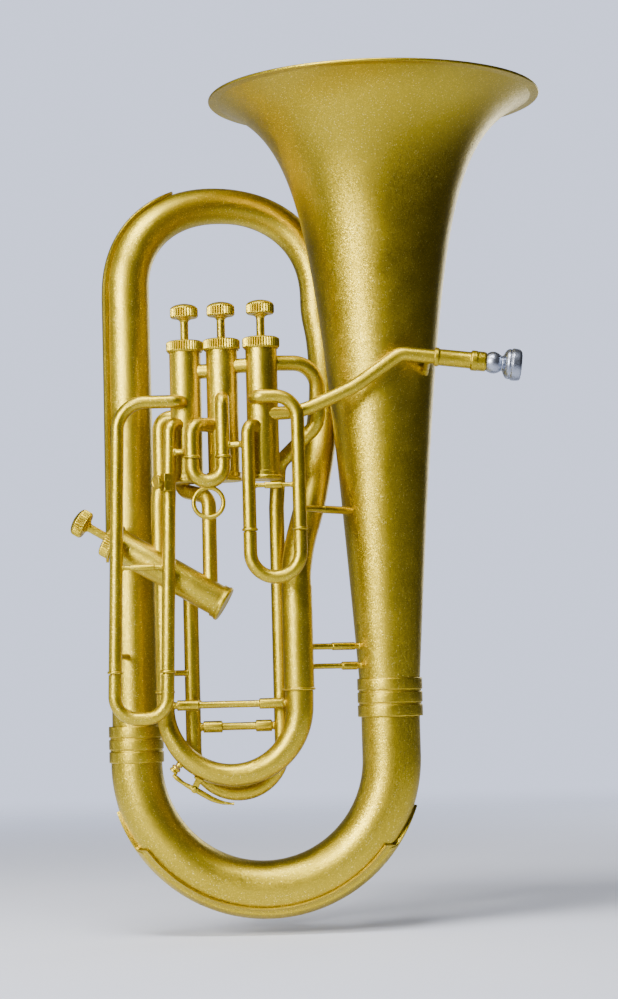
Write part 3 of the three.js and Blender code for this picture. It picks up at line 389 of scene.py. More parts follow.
def clipped(lines, cylinder):
    """Moves the start of each line of points out of a cylinder (point, direction, radius)."""
    origin, axis, radius = Vector(cylinder[0]), Vector(cylinder[1]).normalized(), cylinder[2]

    def flat(point):
        offset = Vector(point) - origin
        return offset - axis * offset.dot(axis)

    for line in lines:
        inside = [flat(point).length < radius for point in line[: len(line) // 2 + 1]]
        if not any(inside):
            continue
        last = max(i for i, hit in enumerate(inside) if hit)
        a, b = flat(line[last]), flat(line[last + 1])
        way = b - a
        p, q, r = way.dot(way), 2 * a.dot(way), a.dot(a) - radius**2
        t = (-q + math.sqrt(max(0, q * q - 4 * p * r))) / (2 * p)
        exit_point = line[last] + (line[last + 1] - line[last]) * t
        line[: last + 1] = exit_point
    return lines


def tube(stops, sides=40, start_in=None, end_in=None):
    """A closed tube through stations (point, outer, bore), cut to fit the cylinders its ends start in."""
    points = [Vector(stop[0]) for stop in stops]
    count = len(points)
    tangents = []
    for i in range(count):
        ahead = (points[min(i + 1, count - 1)] - points[i]).normalized() if i < count - 1 else Vector()
        behind = (points[i] - points[i - 1]).normalized() if i > 0 else Vector()
        tangents.append((ahead + behind).normalized())
    reference = Vector((1, 0, 0)) if abs(tangents[0].y) > 0.9 else Vector((0, 1, 0))
    across = reference.cross(tangents[0]).normalized()
    hollow = stops[0][2] > 0
    outer = np.zeros((sides, count, 3))
    inner = np.zeros((sides, count, 3))
    for i, tangent in enumerate(tangents):
        across = (across - tangent * across.dot(tangent)).normalized()
        up = tangent.cross(across)
        for k in range(sides):
            angle = 2 * math.pi * k / sides
            ray = across * math.cos(angle) + up * math.sin(angle)
            outer[k, i] = points[i] + ray * stops[i][1]
            inner[k, i] = points[i] + ray * stops[i][2]
    layers = [outer, inner] if hollow else [outer]
    for layer in layers:
        if start_in:
            clipped(layer, start_in)
        if end_in:
            clipped(layer[:, ::-1], end_in)
    vertices = np.vstack([layer.reshape(-1, 3) for layer in layers])
    faces = []

    def at(layer, k, i):
        return (layer * sides + k % sides) * count + i

    for k in range(sides):
        for i in range(count - 1):
            faces.append((at(0, k, i), at(0, k + 1, i), at(0, k + 1, i + 1), at(0, k, i + 1)))
            if hollow:
                faces.append((at(1, k, i), at(1, k, i + 1), at(1, k + 1, i + 1), at(1, k + 1, i)))
        if hollow:
            faces.append((at(0, k, 0), at(1, k, 0), at(1, k + 1, 0), at(0, k + 1, 0)))
            last = count - 1
            faces.append((at(0, k, last), at(0, k + 1, last), at(1, k + 1, last), at(1, k, last)))
    if not hollow:
        faces.append(tuple(at(0, k, 0) for k in reversed(range(sides))))
        faces.append(tuple(at(0, k, count - 1) for k in range(sides)))
    return vertices, faces


def rod(start, end, profile, sides=32):
    """A round rod through (distance, radius) pairs measured from its start."""
    start = Vector(start)
    direction = (Vector(end) - start).normalized()
    closed = [(0, profile[0][0]), *[(radius, distance) for distance, radius in profile], (0, profile[-1][0])]
    return placed(lathe(rounded(closed, 0.35), sides), start, direction)


def stay(start, end, thin, thick, collars):
    """A brace rod, with collars that run between fractions of its length and a small foot at each end."""
    length = (Vector(end) - Vector(start)).length
    foot = thin + 0.4
    profile = [(0, foot), (1.1, foot), (1.5, thin)]
    for low, high in collars:
        a, b = max(2.0, low * length), min(length - 2.0, high * length)
        profile += [(a, thin), (a + 0.5, thick), (b - 0.5, thick), (b, thin)]
    profile += [(length - 1.5, thin), (length - 1.1, foot), (length, foot)]
    return rod(start, end, profile)


def wrapped_sheet(rows, columns, lifts):
    """A closed sheet over a tube. Rows give (point, out, side, radius, half angle), and lifts(share), with
    a share from -1 to 1 across the sheet, gives how far its upper and lower faces stand off the tube."""
    upper, lower = [], []
    for point, out, side, radius, half in rows:
        for k in range(columns + 1):
            share = 2 * k / columns - 1
            angle = half * share
            ray = out * math.cos(angle) + side * math.sin(angle)
            top, under = lifts(share)
            upper.append(point + ray * (radius + top))
            lower.append(point + ray * (radius + under))
    width, count = columns + 1, len(rows) * (columns + 1)
    faces = []
    for i in range(len(rows) - 1):
        for k in range(columns):
            a = i * width + k
            faces.append((a, a + 1, a + 1 + width, a + width))
            faces.append((count + a, count + a + width, count + a + 1 + width, count + a + 1))
        a, b = i * width, i * width + columns
        faces.append((a, a + width, count + a + width, count + a))
        faces.append((b, count + b, count + b + width, b + width))
    for k in range(columns):
        a, b = k, (len(rows) - 1) * width + k
        faces.append((a, count + a, count + a + 1, a + 1))
        faces.append((b, b + 1, count + b + 1, count + b))
    return np.array([tuple(p) for p in upper + lower]), faces


def bevelled_box(centre, size, turn, bevel=0.5, hole=None):
    """A turned box with its edges rounded, optionally with a rectangular hole along its own Z."""
    def outline(width, depth, radius, steps=4):
        points = []
        for sx, sy, begin in ((1, 1, 0), (-1, 1, 90), (-1, -1, 180), (1, -1, 270)):
            for k in range(steps + 1):
                a = math.radians(begin + 90 * k / steps)
                corner = (sx * (width / 2 - radius), sy * (depth / 2 - radius))
                points.append((corner[0] + radius * math.cos(a), corner[1] + radius * math.sin(a)))
        return points

    half = size[2] / 2
    chamfer = min(bevel * 0.7, half * 0.4)
    full = outline(size[0], size[1], bevel)
    cut = outline(size[0] - 2 * chamfer, size[1] - 2 * chamfer, bevel)
    loops = [(cut, -half), (full, -half + chamfer), (full, half - chamfer), (cut, half)]
    if hole:
        opening = outline(hole[0], hole[1], 0.2)
        loops += [(opening, half), (opening, -half)]
    sides = len(loops[0][0])
    vertices = [(x, y, z) for loop, z in loops for x, y in loop]
    count = len(loops)
    faces = []
    for i in range(count if hole else count - 1):
        j = (i + 1) % count
        for k in range(sides):
            m = (k + 1) % sides
            faces.append((i * sides + k, i * sides + m, j * sides + m, j * sides + k))
    if not hole:
        faces.append(tuple(reversed(range(sides))))
        faces.append(tuple(range((count - 1) * sides, count * sides)))
    return np.array(vertices) @ np.array(turn).T + np.array(centre, float), faces


def made(node, shape, body="body", material=GOLD, sharp=38, name=None):
    """Makes the piece that stands for a model node, or with name a further piece of it."""
    mesh = bpy.data.meshes.new(name or f"{node}_piece")
    mesh.from_pydata((np.asarray(shape[0]) * MM).tolist(), [], shape[1])
    edit = bmesh.new()
    edit.from_mesh(mesh)
    bmesh.ops.remove_doubles(edit, verts=edit.verts, dist=2e-6)
    bmesh.ops.dissolve_degenerate(edit, edges=edit.edges, dist=1e-6)
    bmesh.ops.recalc_face_normals(edit, faces=edit.faces)
    edit.to_mesh(mesh)
    edit.free()
    mesh.polygons.foreach_set("use_smooth", [True] * len(mesh.polygons))
    mesh.set_sharp_from_angle(angle=math.radians(sharp))
    mesh.materials.append(material)
    piece = bpy.data.objects.new(name or f"{node}_piece", mesh)
    bpy.context.scene.collection.objects.link(piece)
    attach(piece, body)
    if not name:
        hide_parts(node)


# ------------------------------------------------------------------ bell, bows and branches
def bell_radius(below):
    """The bell's outer radius at a distance below its rim: a straight taper and a flare."""
    return 16.5 + 0.0547 * (500 - below) + 3853 * (below + 38.2) ** -1.032


def build_bell():
    length = BELL_RIM["z"] - BELL_JOINT_Z
    steps = 90
    outside = []
    for i in range(steps + 1):
        below = 3.0 + (length - 3.0) * (1 - i / steps) ** 2.1
        outside.append((bell_radius(below), BELL_RIM["z"] - below))
    bead = 1.35
    centre = (BELL_RIM["radius"] - bead, BELL_RIM["z"] - bead)
    rim = []
    for k in range(15):
        angle = math.radians(-50 + 200 * k / 14)
        rim.append((centre[0] + bead * math.cos(angle), centre[1] + bead * math.sin(angle)))
    inside = []
    for i in range(steps, -1, -1):
        a, b = outside[max(0, i - 1)], outside[min(steps, i + 1)]
        slope = math.atan2(b[0] - a[0], b[1] - a[1])
        inside.append((outside[i][0] - WALL * math.cos(slope), outside[i][1] + WALL * math.sin(slope)))
    profile = [*outside[:-1], *rim, *inside[1:]]
    made("bell", placed(lathe(profile, 144), (HALF_WIDTH, 0, 0)))


def build_ferrule(node, x, size):
    """A sleeve of three bands, parted by two fine grooves."""
    low, high, outer = size["low"], size["high"], size["outer"]
    profile = [(size["bore"][0], low), (outer - 0.5, low), (outer, low + 0.5)]
    pitch = (high - low) / 3
    for i in (1, 2):
        z = low + i * pitch
        profile += [(outer, z - 1.3), (outer - 0.25, z - 0.95), (outer - 1.0, z - 0.75)]
        profile += [(outer - 1.0, z + 0.75), (outer - 0.25, z + 0.95), (outer, z + 1.3)]
    profile += [(outer, high - 0.5), (outer - 0.5, high), (size["bore"][1], high)]
    made(node, placed(lathe(rounded(profile, 0.25), 96), (x, 0, 0)))


def bow_point(angle):
    return Vector((HALF_WIDTH * math.sin(angle), 0, BOW_CENTRE_Z - HALF_WIDTH * math.cos(angle)))


def bow_radius(angle):
    share = angle / math.pi + 0.5
    return BOW_TOP_RADIUS["branch"] * (1 - share) + BOW_TOP_RADIUS["bell"] * share


def build_bottom_bow():
    line = [(Vector((-HALF_WIDTH, 0, BRANCH_JOINT_Z)), bow_radius(-math.pi / 2))]
    steps = 96
    for i in range(steps + 1):
        angle = math.pi * (i / steps - 0.5)
        line.append((bow_point(angle), bow_radius(angle)))
    line.append((Vector((HALF_WIDTH, 0, BELL_JOINT_Z)), bow_radius(math.pi / 2)))
    made("bottom_bow", tube([(point, outer, outer - WALL) for point, outer in line], 72))


def guard_lifts(share):
    """Faces of a guard sheet: a raised middle band, a lip along each edge and a turned-down hem."""
    edge = (1 - abs(share)) * 12
    lip = GUARD_STEP * math.exp(-(edge**2))
    band = 1 / (1 + math.exp((abs(share) - 0.70) * 80))
    return GUARD_FACE + lip + GUARD_STEP * band, 0.15 + 0.75 * min(1.0, edge)


def build_bow_guard():
    tip, shoulder, wide, tongue = (math.radians(a) for a in (72, 54, 51, 24))
    count = 150
    rows = []
    for i in range(count + 1):
        angle = tip * (2 * i / count - 1)
        past = (abs(angle) - shoulder) / (tip - shoulder)
        half = wide
        if past > 0:
            half = tongue * (1 - 0.93 * past**1.6)
            half += (wide - tongue) * math.exp(-((past * 14) ** 2))
        out = Vector((math.sin(angle), 0, -math.cos(angle)))
        rows.append((bow_point(angle), out, Vector((0, 1, 0)), bow_radius(angle), half))
    made("bow_guard", wrapped_sheet(rows, 72, guard_lifts), sharp=50)


def top_bow_point(turn):
    middle = (TOP_BOW["left"] + TOP_BOW["right"]) / 2
    half = (TOP_BOW["right"] - TOP_BOW["left"]) / 2

    def shaped(value):
        return math.copysign(abs(value) ** (2 / TOP_BOW["squareness"]), value)

    swing = min(1.0, turn / math.radians(135))
    return Vector((
        middle - half * shaped(math.cos(turn)),
        TOP_BOW["depth"] * (1 - math.cos(math.pi * swing)) / 2,
        TOP_BOW["low"] + TOP_BOW["rise"] * shaped(math.sin(turn)),
    ))


def top_bow_radius(turn):
    early = min(1.0, turn / math.radians(100))
    return BRANCH_RADIUS["high"] * (1 - early) + TOP_BOW_END_RADIUS * early


def build_top_bow():
    joint = TOP_BOW["low"] - 4.0
    branch = [Vector((-HALF_WIDTH, 0, z)) for z in (BRANCH_JOINT_Z, joint)]
    made("outer_branch", tube(stations(branch, BRANCH_RADIUS["low"], BRANCH_RADIUS["high"]), 64))

    steps = 90
    stops = []
    for i in range(steps + 1):
        turn = math.pi * (1 - math.cos(math.pi * i / steps)) / 2
        outer = top_bow_radius(turn)
        stops.append((top_bow_point(turn), outer, outer - WALL))
    first, last = stops[0], stops[-1]
    ends = [(stop[0] + DOWN * 4.0, stop[1], stop[2]) for stop in (first, last)]
    made("top_bow", tube([ends[0], *stops, ends[1]], 64))

    curve = spline([
        (52, 51, 499), (52.1, 51, 495), (52.7, 50.9, 488), (55.5, 50, 470), (57, 43.5, 440), (56, 35, 414),
        (51.5, 19, 382), (47, 5, 355), (41, -10, 326), (33, -24, 296), (LEG_X["main"][1], MAIN["y"], 272),
        (LEG_X["main"][1], MAIN["y"], MAIN_SLEEVE_TOP),
    ], 9)
    made("inner_branch", tube(stations(curve, TOP_BOW_END_RADIUS, MAIN_BORE_RADIUS), 56))


def build_branch_guard():
    low, reach, wide = 286.0, math.radians(66), math.radians(36)
    rows = []
    count = 60
    for i in range(count):
        share = i / count
        point = Vector((-HALF_WIDTH, 0, low + (TOP_BOW["low"] - low) * share))
        half = wide * min(1.0, 0.12 + 0.88 * math.sin(min(1.0, share * 6) * math.pi / 2))
        radius = BRANCH_RADIUS["low"] * (1 - share) + BRANCH_RADIUS["high"] * share
        rows.append((point, Vector((-1, 0, 0)), Vector((0, -1, 0)), max(radius, 18.2), half))
    for i in range(count + 1):
        turn = reach * i / count
        step = math.radians(1)
        tangent = (top_bow_point(turn + step) - top_bow_point(max(0.0, turn - step))).normalized()
        side = (Vector((0, -1, 0)) + tangent * tangent.y).normalized()
        left = 1 - i / count
        half = wide * min(1.0, 0.12 + 0.88 * math.sin(min(1.0, left * 6) * math.pi / 2))
        out = side.cross(tangent).normalized()
        rows.append((top_bow_point(turn), out, side, top_bow_radius(turn) + 0.2, half))
    made("branch_guard", wrapped_sheet(rows, 40, guard_lifts), sharp=50)


# ------------------------------------------------------------------ valves
def valve_places():
    slope, lean = math.radians(VALVE4["slope"]), math.radians(VALVE4["lean"])
    direction = Vector((-math.cos(slope) * math.cos(lean), math.sin(lean), math.sin(slope) * math.cos(lean)))
    places = [(Vector(at), UP, height) for at, height in VALVES]
    start = Vector(VALVE4["through"]) - direction * VALVE4["low"]
    return [*places, (start, direction, VALVE4["low"] + VALVE4["high"])]


PLACES = valve_places()


def in_casing(n):
    """The cylinder that a tube's end is cut to where it meets valve casing n."""
    return PLACES[n - 1][0], PLACES[n - 1][1], CASING_RADIUS - CASING_SEAT


def build_valve(n, loop_low):
    origin, direction, height = PLACES[n - 1]

    def put(part, shape, body="body", material=GOLD, sharp=38):
        made(f"valve{n}_{part}", placed(shape, origin, direction), body, material, sharp)

    low, high = 2.3, height - 2.3
    wall = [(CASING_BORE, low), (CASING_RADIUS, low), (CASING_RADIUS, high), (CASING_BORE, high)]
    casing = lathe(rounded(wall, 0.2), 72)
    if loop_low:
        loop_high = loop_low + 20
        corners = [(0, 2, loop_low), (0, 27, loop_low, 8.5), (0, 27, loop_high, 8.5), (0, 2, loop_high)]
        core = ((0, 0, 0), UP, CASING_RADIUS - CASING_SEAT)
        casing = joined(casing, tube(stations(route(corners), LOOP_RADIUS), 32, core, core))
    put("casing", casing)

    bottom = [(0, 0), (4, 0.5), (9, 0.5), (10.2, 0), (13.4, 0), (14.4, 0.8), (14.4, 2.6), (13.6, 3.4)]
    bottom += [(13.6, 6.2), (13.9, 7), (12.8, 7), (12.8, 2), (0, 2)]
    put("bottom_cap", lathe(rounded(bottom, 0.45), 72))

    skirt = height - CAP_SKIRT
    teeth = 44
    top = [(12.8, skirt), (13.7, skirt), (14.0, skirt + 1.0), (14.6, skirt + 1.5)]
    top += [(14.7, skirt + 1.5 + 6.2 * k / 5) for k in range(6)]
    top += [(14.1, height - 1.1), (12.6, height - 0.35), (8.0, height), (4.6, height - 0.1)]
    top += [(4.2, height - 0.6), (4.2, height - 2), (12.8, height - 2)]
    cap = knurled(lathe(rounded(top, 0.3, 2), teeth * 6), teeth, 0.85, 13.9, skirt + 1.6, skirt + 7.9)
    put("top_cap", cap, sharp=60)

    piston_top, piston_low, radius = height - 6, 36.0, CASING_BORE - PISTON_GAP
    piston = [(radius - 1, piston_low), (radius, piston_low), (radius, piston_top), (2.6, piston_top)]
    piston += [(2.6, piston_top - 2.5), (radius - 1, piston_top - 2.5)]
    put("piston", lathe(rounded(piston, 0.3), 64), f"piston{n}", STEEL)

    head = height + BUTTON_GAP
    teeth = 32
    foot, collar = piston_top - 2.2, piston_top + 0.3
    button = [(0, foot), (2.3, foot), (2.3, collar), (3.3, collar)]
    button += [(3.3, head - 3.2), (3.9, head - 1.9), (5.6, head - 0.9), (6.4, head), (9.9, head)]
    button += [(10.8, head + 0.9)] + [(11.1, head + 1.4 + 5.4 * k / 4) for k in range(5)]
    button += [(10.7, head + 8.1), (9.4, head + 9.3), (7.2, head + 10.3)]
    button += [(4.0, head + 11.1), (0, head + 11.4)]
    cap = knurled(lathe(rounded(button, 0.35, 2), teeth * 6), teeth, 0.85, 10.4, head + 1.3, head + 7.2)
    put("button", cap, f"piston{n}", sharp=60)

    turns, wire, reach = 6, 0.7, 9.0
    coil = []
    spring_low, spring_high = 2.3 + wire, piston_low - 0.3 - wire
    for i in range(turns * 24 + 1):
        angle = math.tau * i / 24
        z = spring_low + (spring_high - spring_low) * i / (turns * 24)
        coil.append((Vector((reach * math.cos(angle), reach * math.sin(angle), z)), wire, 0))
    put("spring", tube(coil, 10), material=STEEL)


# ------------------------------------------------------------------ slides
def sleeve(corners, radius, sides=44, start_in=None):
    return tube(beaded(stations(route(corners), radius), 1.05), sides, start_in)


def crook(a, b, down, slide, legs, bows, sides=44):
    """The two inner legs and the bow of a slide, whose sleeves end at a and b."""
    a, b = Vector(a), Vector(b)

    def corner(point):
        return (*(point + down * slide["depth"]), slide["bend"])

    bow = route([tuple(a + down * 0.7), corner(a), corner(b), tuple(b + down * 0.7)], math.radians(4))
    bores = [leg - WALL for leg in legs]
    along = fractions(bow)
    stops = [(a - down * slide["reach"], legs[0], bores[0]), (a + down * 0.35, legs[0], bores[0])]
    stops += [(a + down * 0.45, bows[0] - 0.3, bores[0])]
    for point, t in zip(bow, along):
        stops.append((point, bows[0] + (bows[1] - bows[0]) * t, bores[0] + (bores[1] - bores[0]) * t))
    stops += [(b + down * 0.45, bows[1] - 0.3, bores[1])]
    stops += [(b + down * 0.35, legs[1], bores[1]), (b - down * slide["reach"], legs[1], bores[1])]
    return tube(stops, sides)


def leg_radius(sleeve_radius):
    return sleeve_radius - WALL - RUNNING_GAP


def even_crook(a, b, slide, down=DOWN):
    """The crook of a slide whose two legs are alike."""
    radius = slide["radius"]
    leg = leg_radius(radius)
    return crook(a, b, down, slide, (leg, leg), (radius, radius))


def slide1_x(side, z):
    return LEG_X["slide1"][side] - (SLIDE1_LEVEL - z) * math.tan(math.radians(SLIDE1["lean"]))


def build_slide1():
    y, end, radius = SLIDE1["y"], SLIDE1["end"], SLIDE1["radius"]
    a, b = (slide1_x(0, end), y, end), (slide1_x(1, end), y, end)
    left = [(-57.5, -40, 408), (-57.5, y, 408, 8), (slide1_x(0, 408), y, 408, 22), a]
    stay_z = 210
    stay_start = (slide1_x(0, stay_z) + 1, y + radius - 0.7, stay_z)
    branch_stay = stay(stay_start, (-106.5, -17.6, stay_z), 2.4, 2.9, ((0, 0.25),))
    made("slide1_sleeve_left", joined(sleeve(left, radius, start_in=in_casing(1)), branch_stay))

    right = [(-54.2, -37, 390.6), (slide1_x(1, 390.6), y, 390.6, 7.5), b]
    brace_z = 278.5
    brace_left = (slide1_x(0, brace_z) + radius - 0.4, y, brace_z)
    brace_right = (slide1_x(1, brace_z) - radius + 0.5, y, brace_z)
    brace = stay(brace_left, brace_right, 1.8, 2.4, ((0.18, 0.8),))
    made("slide1_sleeve_right", joined(sleeve(right, radius, start_in=in_casing(1)), brace))

    lean = math.radians(SLIDE1["lean"])
    down = Vector((-math.sin(lean), 0, -math.cos(lean)))
    made("slide1_crook", even_crook(a, b, SLIDE1, down), "slide1")


def stud(start, end, from_radius, to_radius):
    """A short stud between the surfaces of two parallel tubes, flared at both ends."""
    start, end = Vector(start), Vector(end)
    way = (end - start).normalized()
    start += way * (from_radius - 0.6)
    end -= way * (to_radius - 0.5)
    length = (end - start).length
    profile = [(0, 3.3), (0.8, 3.0), (1.8, 2.4), (length - 1.8, 2.4), (length - 0.8, 3.0), (length, 3.3)]
    return rod(start, end, profile)


def build_slide2():
    y, end, radius = SLIDE2["y"], SLIDE2["end"], SLIDE2["radius"]
    left_x, right_x = LEG_X["slide2"]
    left = sleeve([(-25, -43, 389), (left_x, y, 389, 9), (left_x, y, end)], radius, start_in=in_casing(2))
    to_slide1 = stud((left_x, y, 368), (slide1_x(1, 368), SLIDE1["y"], 368), radius, SLIDE1["radius"])
    made("slide2_sleeve_left", joined(left, to_slide1))
    corners = [(-25, -43, 409), (right_x, y, 409, 6.6), (right_x, y, end)]
    right = sleeve(corners, radius, start_in=in_casing(2))
    to_slide3 = stud((right_x, y, 372), (LEG_X["slide3"][0], SLIDE3["y"], 372), radius, SLIDE3["radius"])
    made("slide2_sleeve_right", joined(right, to_slide3))

    bow = even_crook((left_x, y, end), (right_x, y, end), SLIDE2)
    ring_radius, wire = 11.6, 1.8
    centre = Vector(((left_x + right_x) / 2, y, end - SLIDE2["depth"] - radius - ring_radius + 0.6))
    angles = [math.tau * k / 20 for k in range(20)]
    section = [(ring_radius + wire * math.cos(angle), wire * math.sin(angle)) for angle in angles]
    ring = placed(lathe(section, 72), centre, (0, 1, 0))
    boss = rod(centre + UP * (ring_radius + 0.2), centre + UP * (ring_radius + 2.6), [(0, 2.6), (2.4, 3.4)])
    made("slide2_crook", joined(bow, ring, boss), "slide2")


def build_slide3():
    y, end, radius = SLIDE3["y"], SLIDE3["end"], SLIDE3["radius"]
    left_x, right_x = LEG_X["slide3"]
    left = sleeve([(6.3, -49, 387), (left_x, y, 387, 7.5), (left_x, y, end)], radius, start_in=in_casing(3))
    brace_z = 339.5
    brace_ends = (left_x + radius - 0.5, y, brace_z), (right_x - radius + 0.4, y, brace_z)
    brace = stay(*brace_ends, 1.8, 2.65, ((0.24, 0.72),))
    made("slide3_sleeve_left", joined(left, brace))
    corners = [(0.5, -49, 409), (0.5, y, 409, 7), (right_x, y, 409, 18), (right_x, y, end)]
    right = sleeve(corners, radius, start_in=in_casing(3))
    bell_stay = stay((right_x + 3, y + 4, 321), (78.5, -15.6, 321), 2.5, 3.1, ((0.35, 0.85),))
    made("slide3_sleeve_right", joined(right, bell_stay))
    made("slide3_crook", even_crook((left_x, y, end), (right_x, y, end), SLIDE3), "slide3")


def build_slide4():
    y, end, radius = SLIDE4["y"], SLIDE4["end"], SLIDE4["radius"]
    left_x, right_x = LEG_X["slide4"]
    corners = [(left_x, MAIN["y"], 262), (left_x, y, 262, 8), (left_x, y, end)]
    left = sleeve(corners, radius, start_in=in_casing(4))
    to_main = stud((left_x, y, 196), (LEG_X["main"][0], MAIN["y"], 196), radius, MAIN["left"])
    made("slide4_sleeve_left", joined(left, to_main))
    corners = [(6.3, -47, 437.5), (50, -38, 437.5, 20), (49.2, -29, 390, 20)]
    corners += [(right_x + 2.5, y - 0.5, 360, 15), (right_x, y, 325, 40), (right_x, y, end)]
    made("slide4_sleeve_right", sleeve(corners, radius, start_in=in_casing(3)))
    bow = even_crook((left_x, y, end), (right_x, y, end), SLIDE4)
    brace_z = 153
    brace_ends = (left_x + radius - 0.5, y, brace_z), (right_x - radius + 0.5, y, brace_z)
    brace = stay(*brace_ends, 3.1, 4.7, ((0.03, 0.3), (0.74, 0.97)))
    made("slide4_crook", joined(bow, brace), "slide4")


def build_main_slide():
    y, end = MAIN["y"], MAIN["end"]
    left_x, right_x = LEG_X["main"]
    left = sleeve([(left_x, y, 280), (left_x, y, end)], MAIN["left"], 48, in_casing(4))
    made("main_sleeve_left", left)
    right = sleeve([(right_x, y, MAIN_SLEEVE_TOP), (right_x, y, end)], MAIN["right"], 56)
    towards = Vector((HALF_WIDTH - right_x, -y, 0)).normalized()
    stays = []
    for z, thin, thick, part in ((214, 2.5, 3.1, (0.42, 0.9)), (198.5, 2.2, 3.3, (0.6, 0.92))):
        start = Vector((right_x, y, z)) + towards * (MAIN["right"] - 0.5)
        stop = Vector((HALF_WIDTH, 0, z)) - towards * (bell_radius(BELL_RIM["z"] - z) - 0.6)
        stays.append(stay(start, stop, thin, thick, (part,)))
    made("main_sleeve_right", joined(right, *stays))

    legs = leg_radius(MAIN["left"]), leg_radius(MAIN["right"])
    bow = crook((left_x, y, end), (right_x, y, end), DOWN, MAIN, legs, (MAIN["left"], 11.2), 56)
    brace_ends = (left_x + MAIN["left"] - 0.6, y, 170.5), (right_x - 10.6, y, 170.5)
    brace = stay(*brace_ends, 2.8, 4.2, ((0.03, 0.23), (0.76, 0.985)))
    nipple = rod(key_pad_spot(-1.2), key_pad_spot(1.8), [(0, 2.8), (2.0, 2.8), (2.2, 2.3), (3.0, 2.3)])
    made("main_crook", joined(bow, brace, nipple), "main_slide")


# ------------------------------------------------------------------ connecting tubes and leadpipe
def build_connecting_tubes():
    def straight(n, m, z):
        ends = [Vector((*PLACES[k - 1][0].xy, z)) for k in (n, m)]
        middle = (ends[0] + ends[1]) / 2
        return tube(stations([ends[0], middle, ends[1]], 5.8), 40, in_casing(n), in_casing(m))

    made("valve1_valve2_tube", straight(1, 2, 433))
    made("valve2_valve3_tube", straight(2, 3, 436))
    corners = [(-54.2, -36, 397), (-74.9, -32, 397, 8.5), (-74.9, -32, 350, 14), (-77, -36, 330, 14)]
    corners.append((-77, -36, 280))
    made("valve1_valve4_tube", tube(stations(route(corners), 6.4, 6.9), 44, in_casing(1), in_casing(4)))
    corners = [(-56, -34, 361), (-61, -15, 361, 8), (-59.5, -15, 341, 8), (-38, -33, 334, 10)]
    corners.append((-38, -38, 262))
    made("valve1_valve4_return", tube(stations(route(corners), 5.9), 40, in_casing(1), in_casing(4)))


def receiver_direction():
    slope = math.radians(RECEIVER_SLOPE)
    return Vector((math.cos(slope), 0, -math.sin(slope)))


def build_leadpipe():
    start = RECEIVER_START
    corners = [(10, LEADPIPE_Y, 396.3), (36, LEADPIPE_Y, 397.4, 60), (78, LEADPIPE_Y, 415.5, 90)]
    corners += [(115.5, LEADPIPE_Y, 441.6, 14), start]
    pipe = tube(stations(route(corners), 5.3, 5.6), 44, in_casing(3))
    bell_stay = stay((137.2, LEADPIPE_Y + 4.4, 435.4), (135.2, -14.5, 427), 2.4, 2.9, ((0.5, 0.9),))
    made("leadpipe", joined(pipe, bell_stay))
    profile = [
        (5.4, 0.1), (7.0, 0.1), (7.5, 0.5), (7.5, 3.2), (7.0, 3.7), (6.6, 4.2), (6.6, 28.6),
        (7.5, 29.0), (8.0, 29.6), (8.0, 33.6), (7.7, 34.2), (7.7, 39.6), (7.2, 41.0), (5.9, 41.0),
    ]
    made("mouthpiece_receiver", placed(lathe(rounded(profile, 0.35), 64), start, receiver_direction()))


def build_mouthpiece():
    ball, ball_z = 8.6, 46.6
    outside = [(4.4, 9), (5.3, 40.6), (6.2, 41.0), (6.6, 41.4)]
    for k in range(25):
        angle = math.radians(-54 + 100 * k / 24)
        outside.append((ball * math.cos(angle), ball_z + ball * math.sin(angle)))
    outside += [(5.9, 53.4), (6.6, 54.2), (8.4, 55.0), (10.4, 56.1), (11.5, 57.4), (11.9, 58.6)]
    outside += [(11.9, 59.6), (11.7, 60.3), (12.1, 60.7), (12.6, 61.3), (12.7, 62.4), (12.5, 65.0)]
    outside += [(12.3, 66.6), (11.8, 67.9), (10.9, 68.5), (9.9, 68.5), (9.0, 67.9)]
    inside = [(8.4, 66.6), (8.1, 64.5), (7.6, 61.5), (6.4, 58.0), (4.4, 55.0), (2.6, 53.2)]
    inside += [(2.0, 52.0), (3.3, 9)]
    shape = placed(lathe(rounded([*outside, *inside], 0.25, 2), 80), RECEIVER_START, receiver_direction())
    made("mouthpiece", shape, "mouthpiece_body", SILVER, sharp=50)


# ------------------------------------------------------------------ water key and lyre holder
KEY_CENTRE = (sum(LEG_X["main"]) / 2, MAIN["end"] - MAIN["depth"] + MAIN["bend"])
KEY_ANGLE = math.radians(243)
KEY_SURFACE = MAIN["bend"] + 8.6
KEY_PAD_TURN = math.radians(-17.5)
KEY_PIVOT = (8.9, 0.8)


def key_spot(height, along, side=0.0):
    """A point by the water key: its height above the main bow, its place along it and to one side."""
    out, over = math.cos(KEY_ANGLE), math.sin(KEY_ANGLE)
    distance = KEY_SURFACE + height
    x = KEY_CENTRE[0] + distance * out - along * over
    z = KEY_CENTRE[1] + distance * over + along * out
    return Vector((x, MAIN["y"] + side, z))


def key_pad_spot(height):
    distance = KEY_SURFACE + height
    return key_spot(distance * math.cos(KEY_PAD_TURN) - KEY_SURFACE, distance * math.sin(KEY_PAD_TURN))


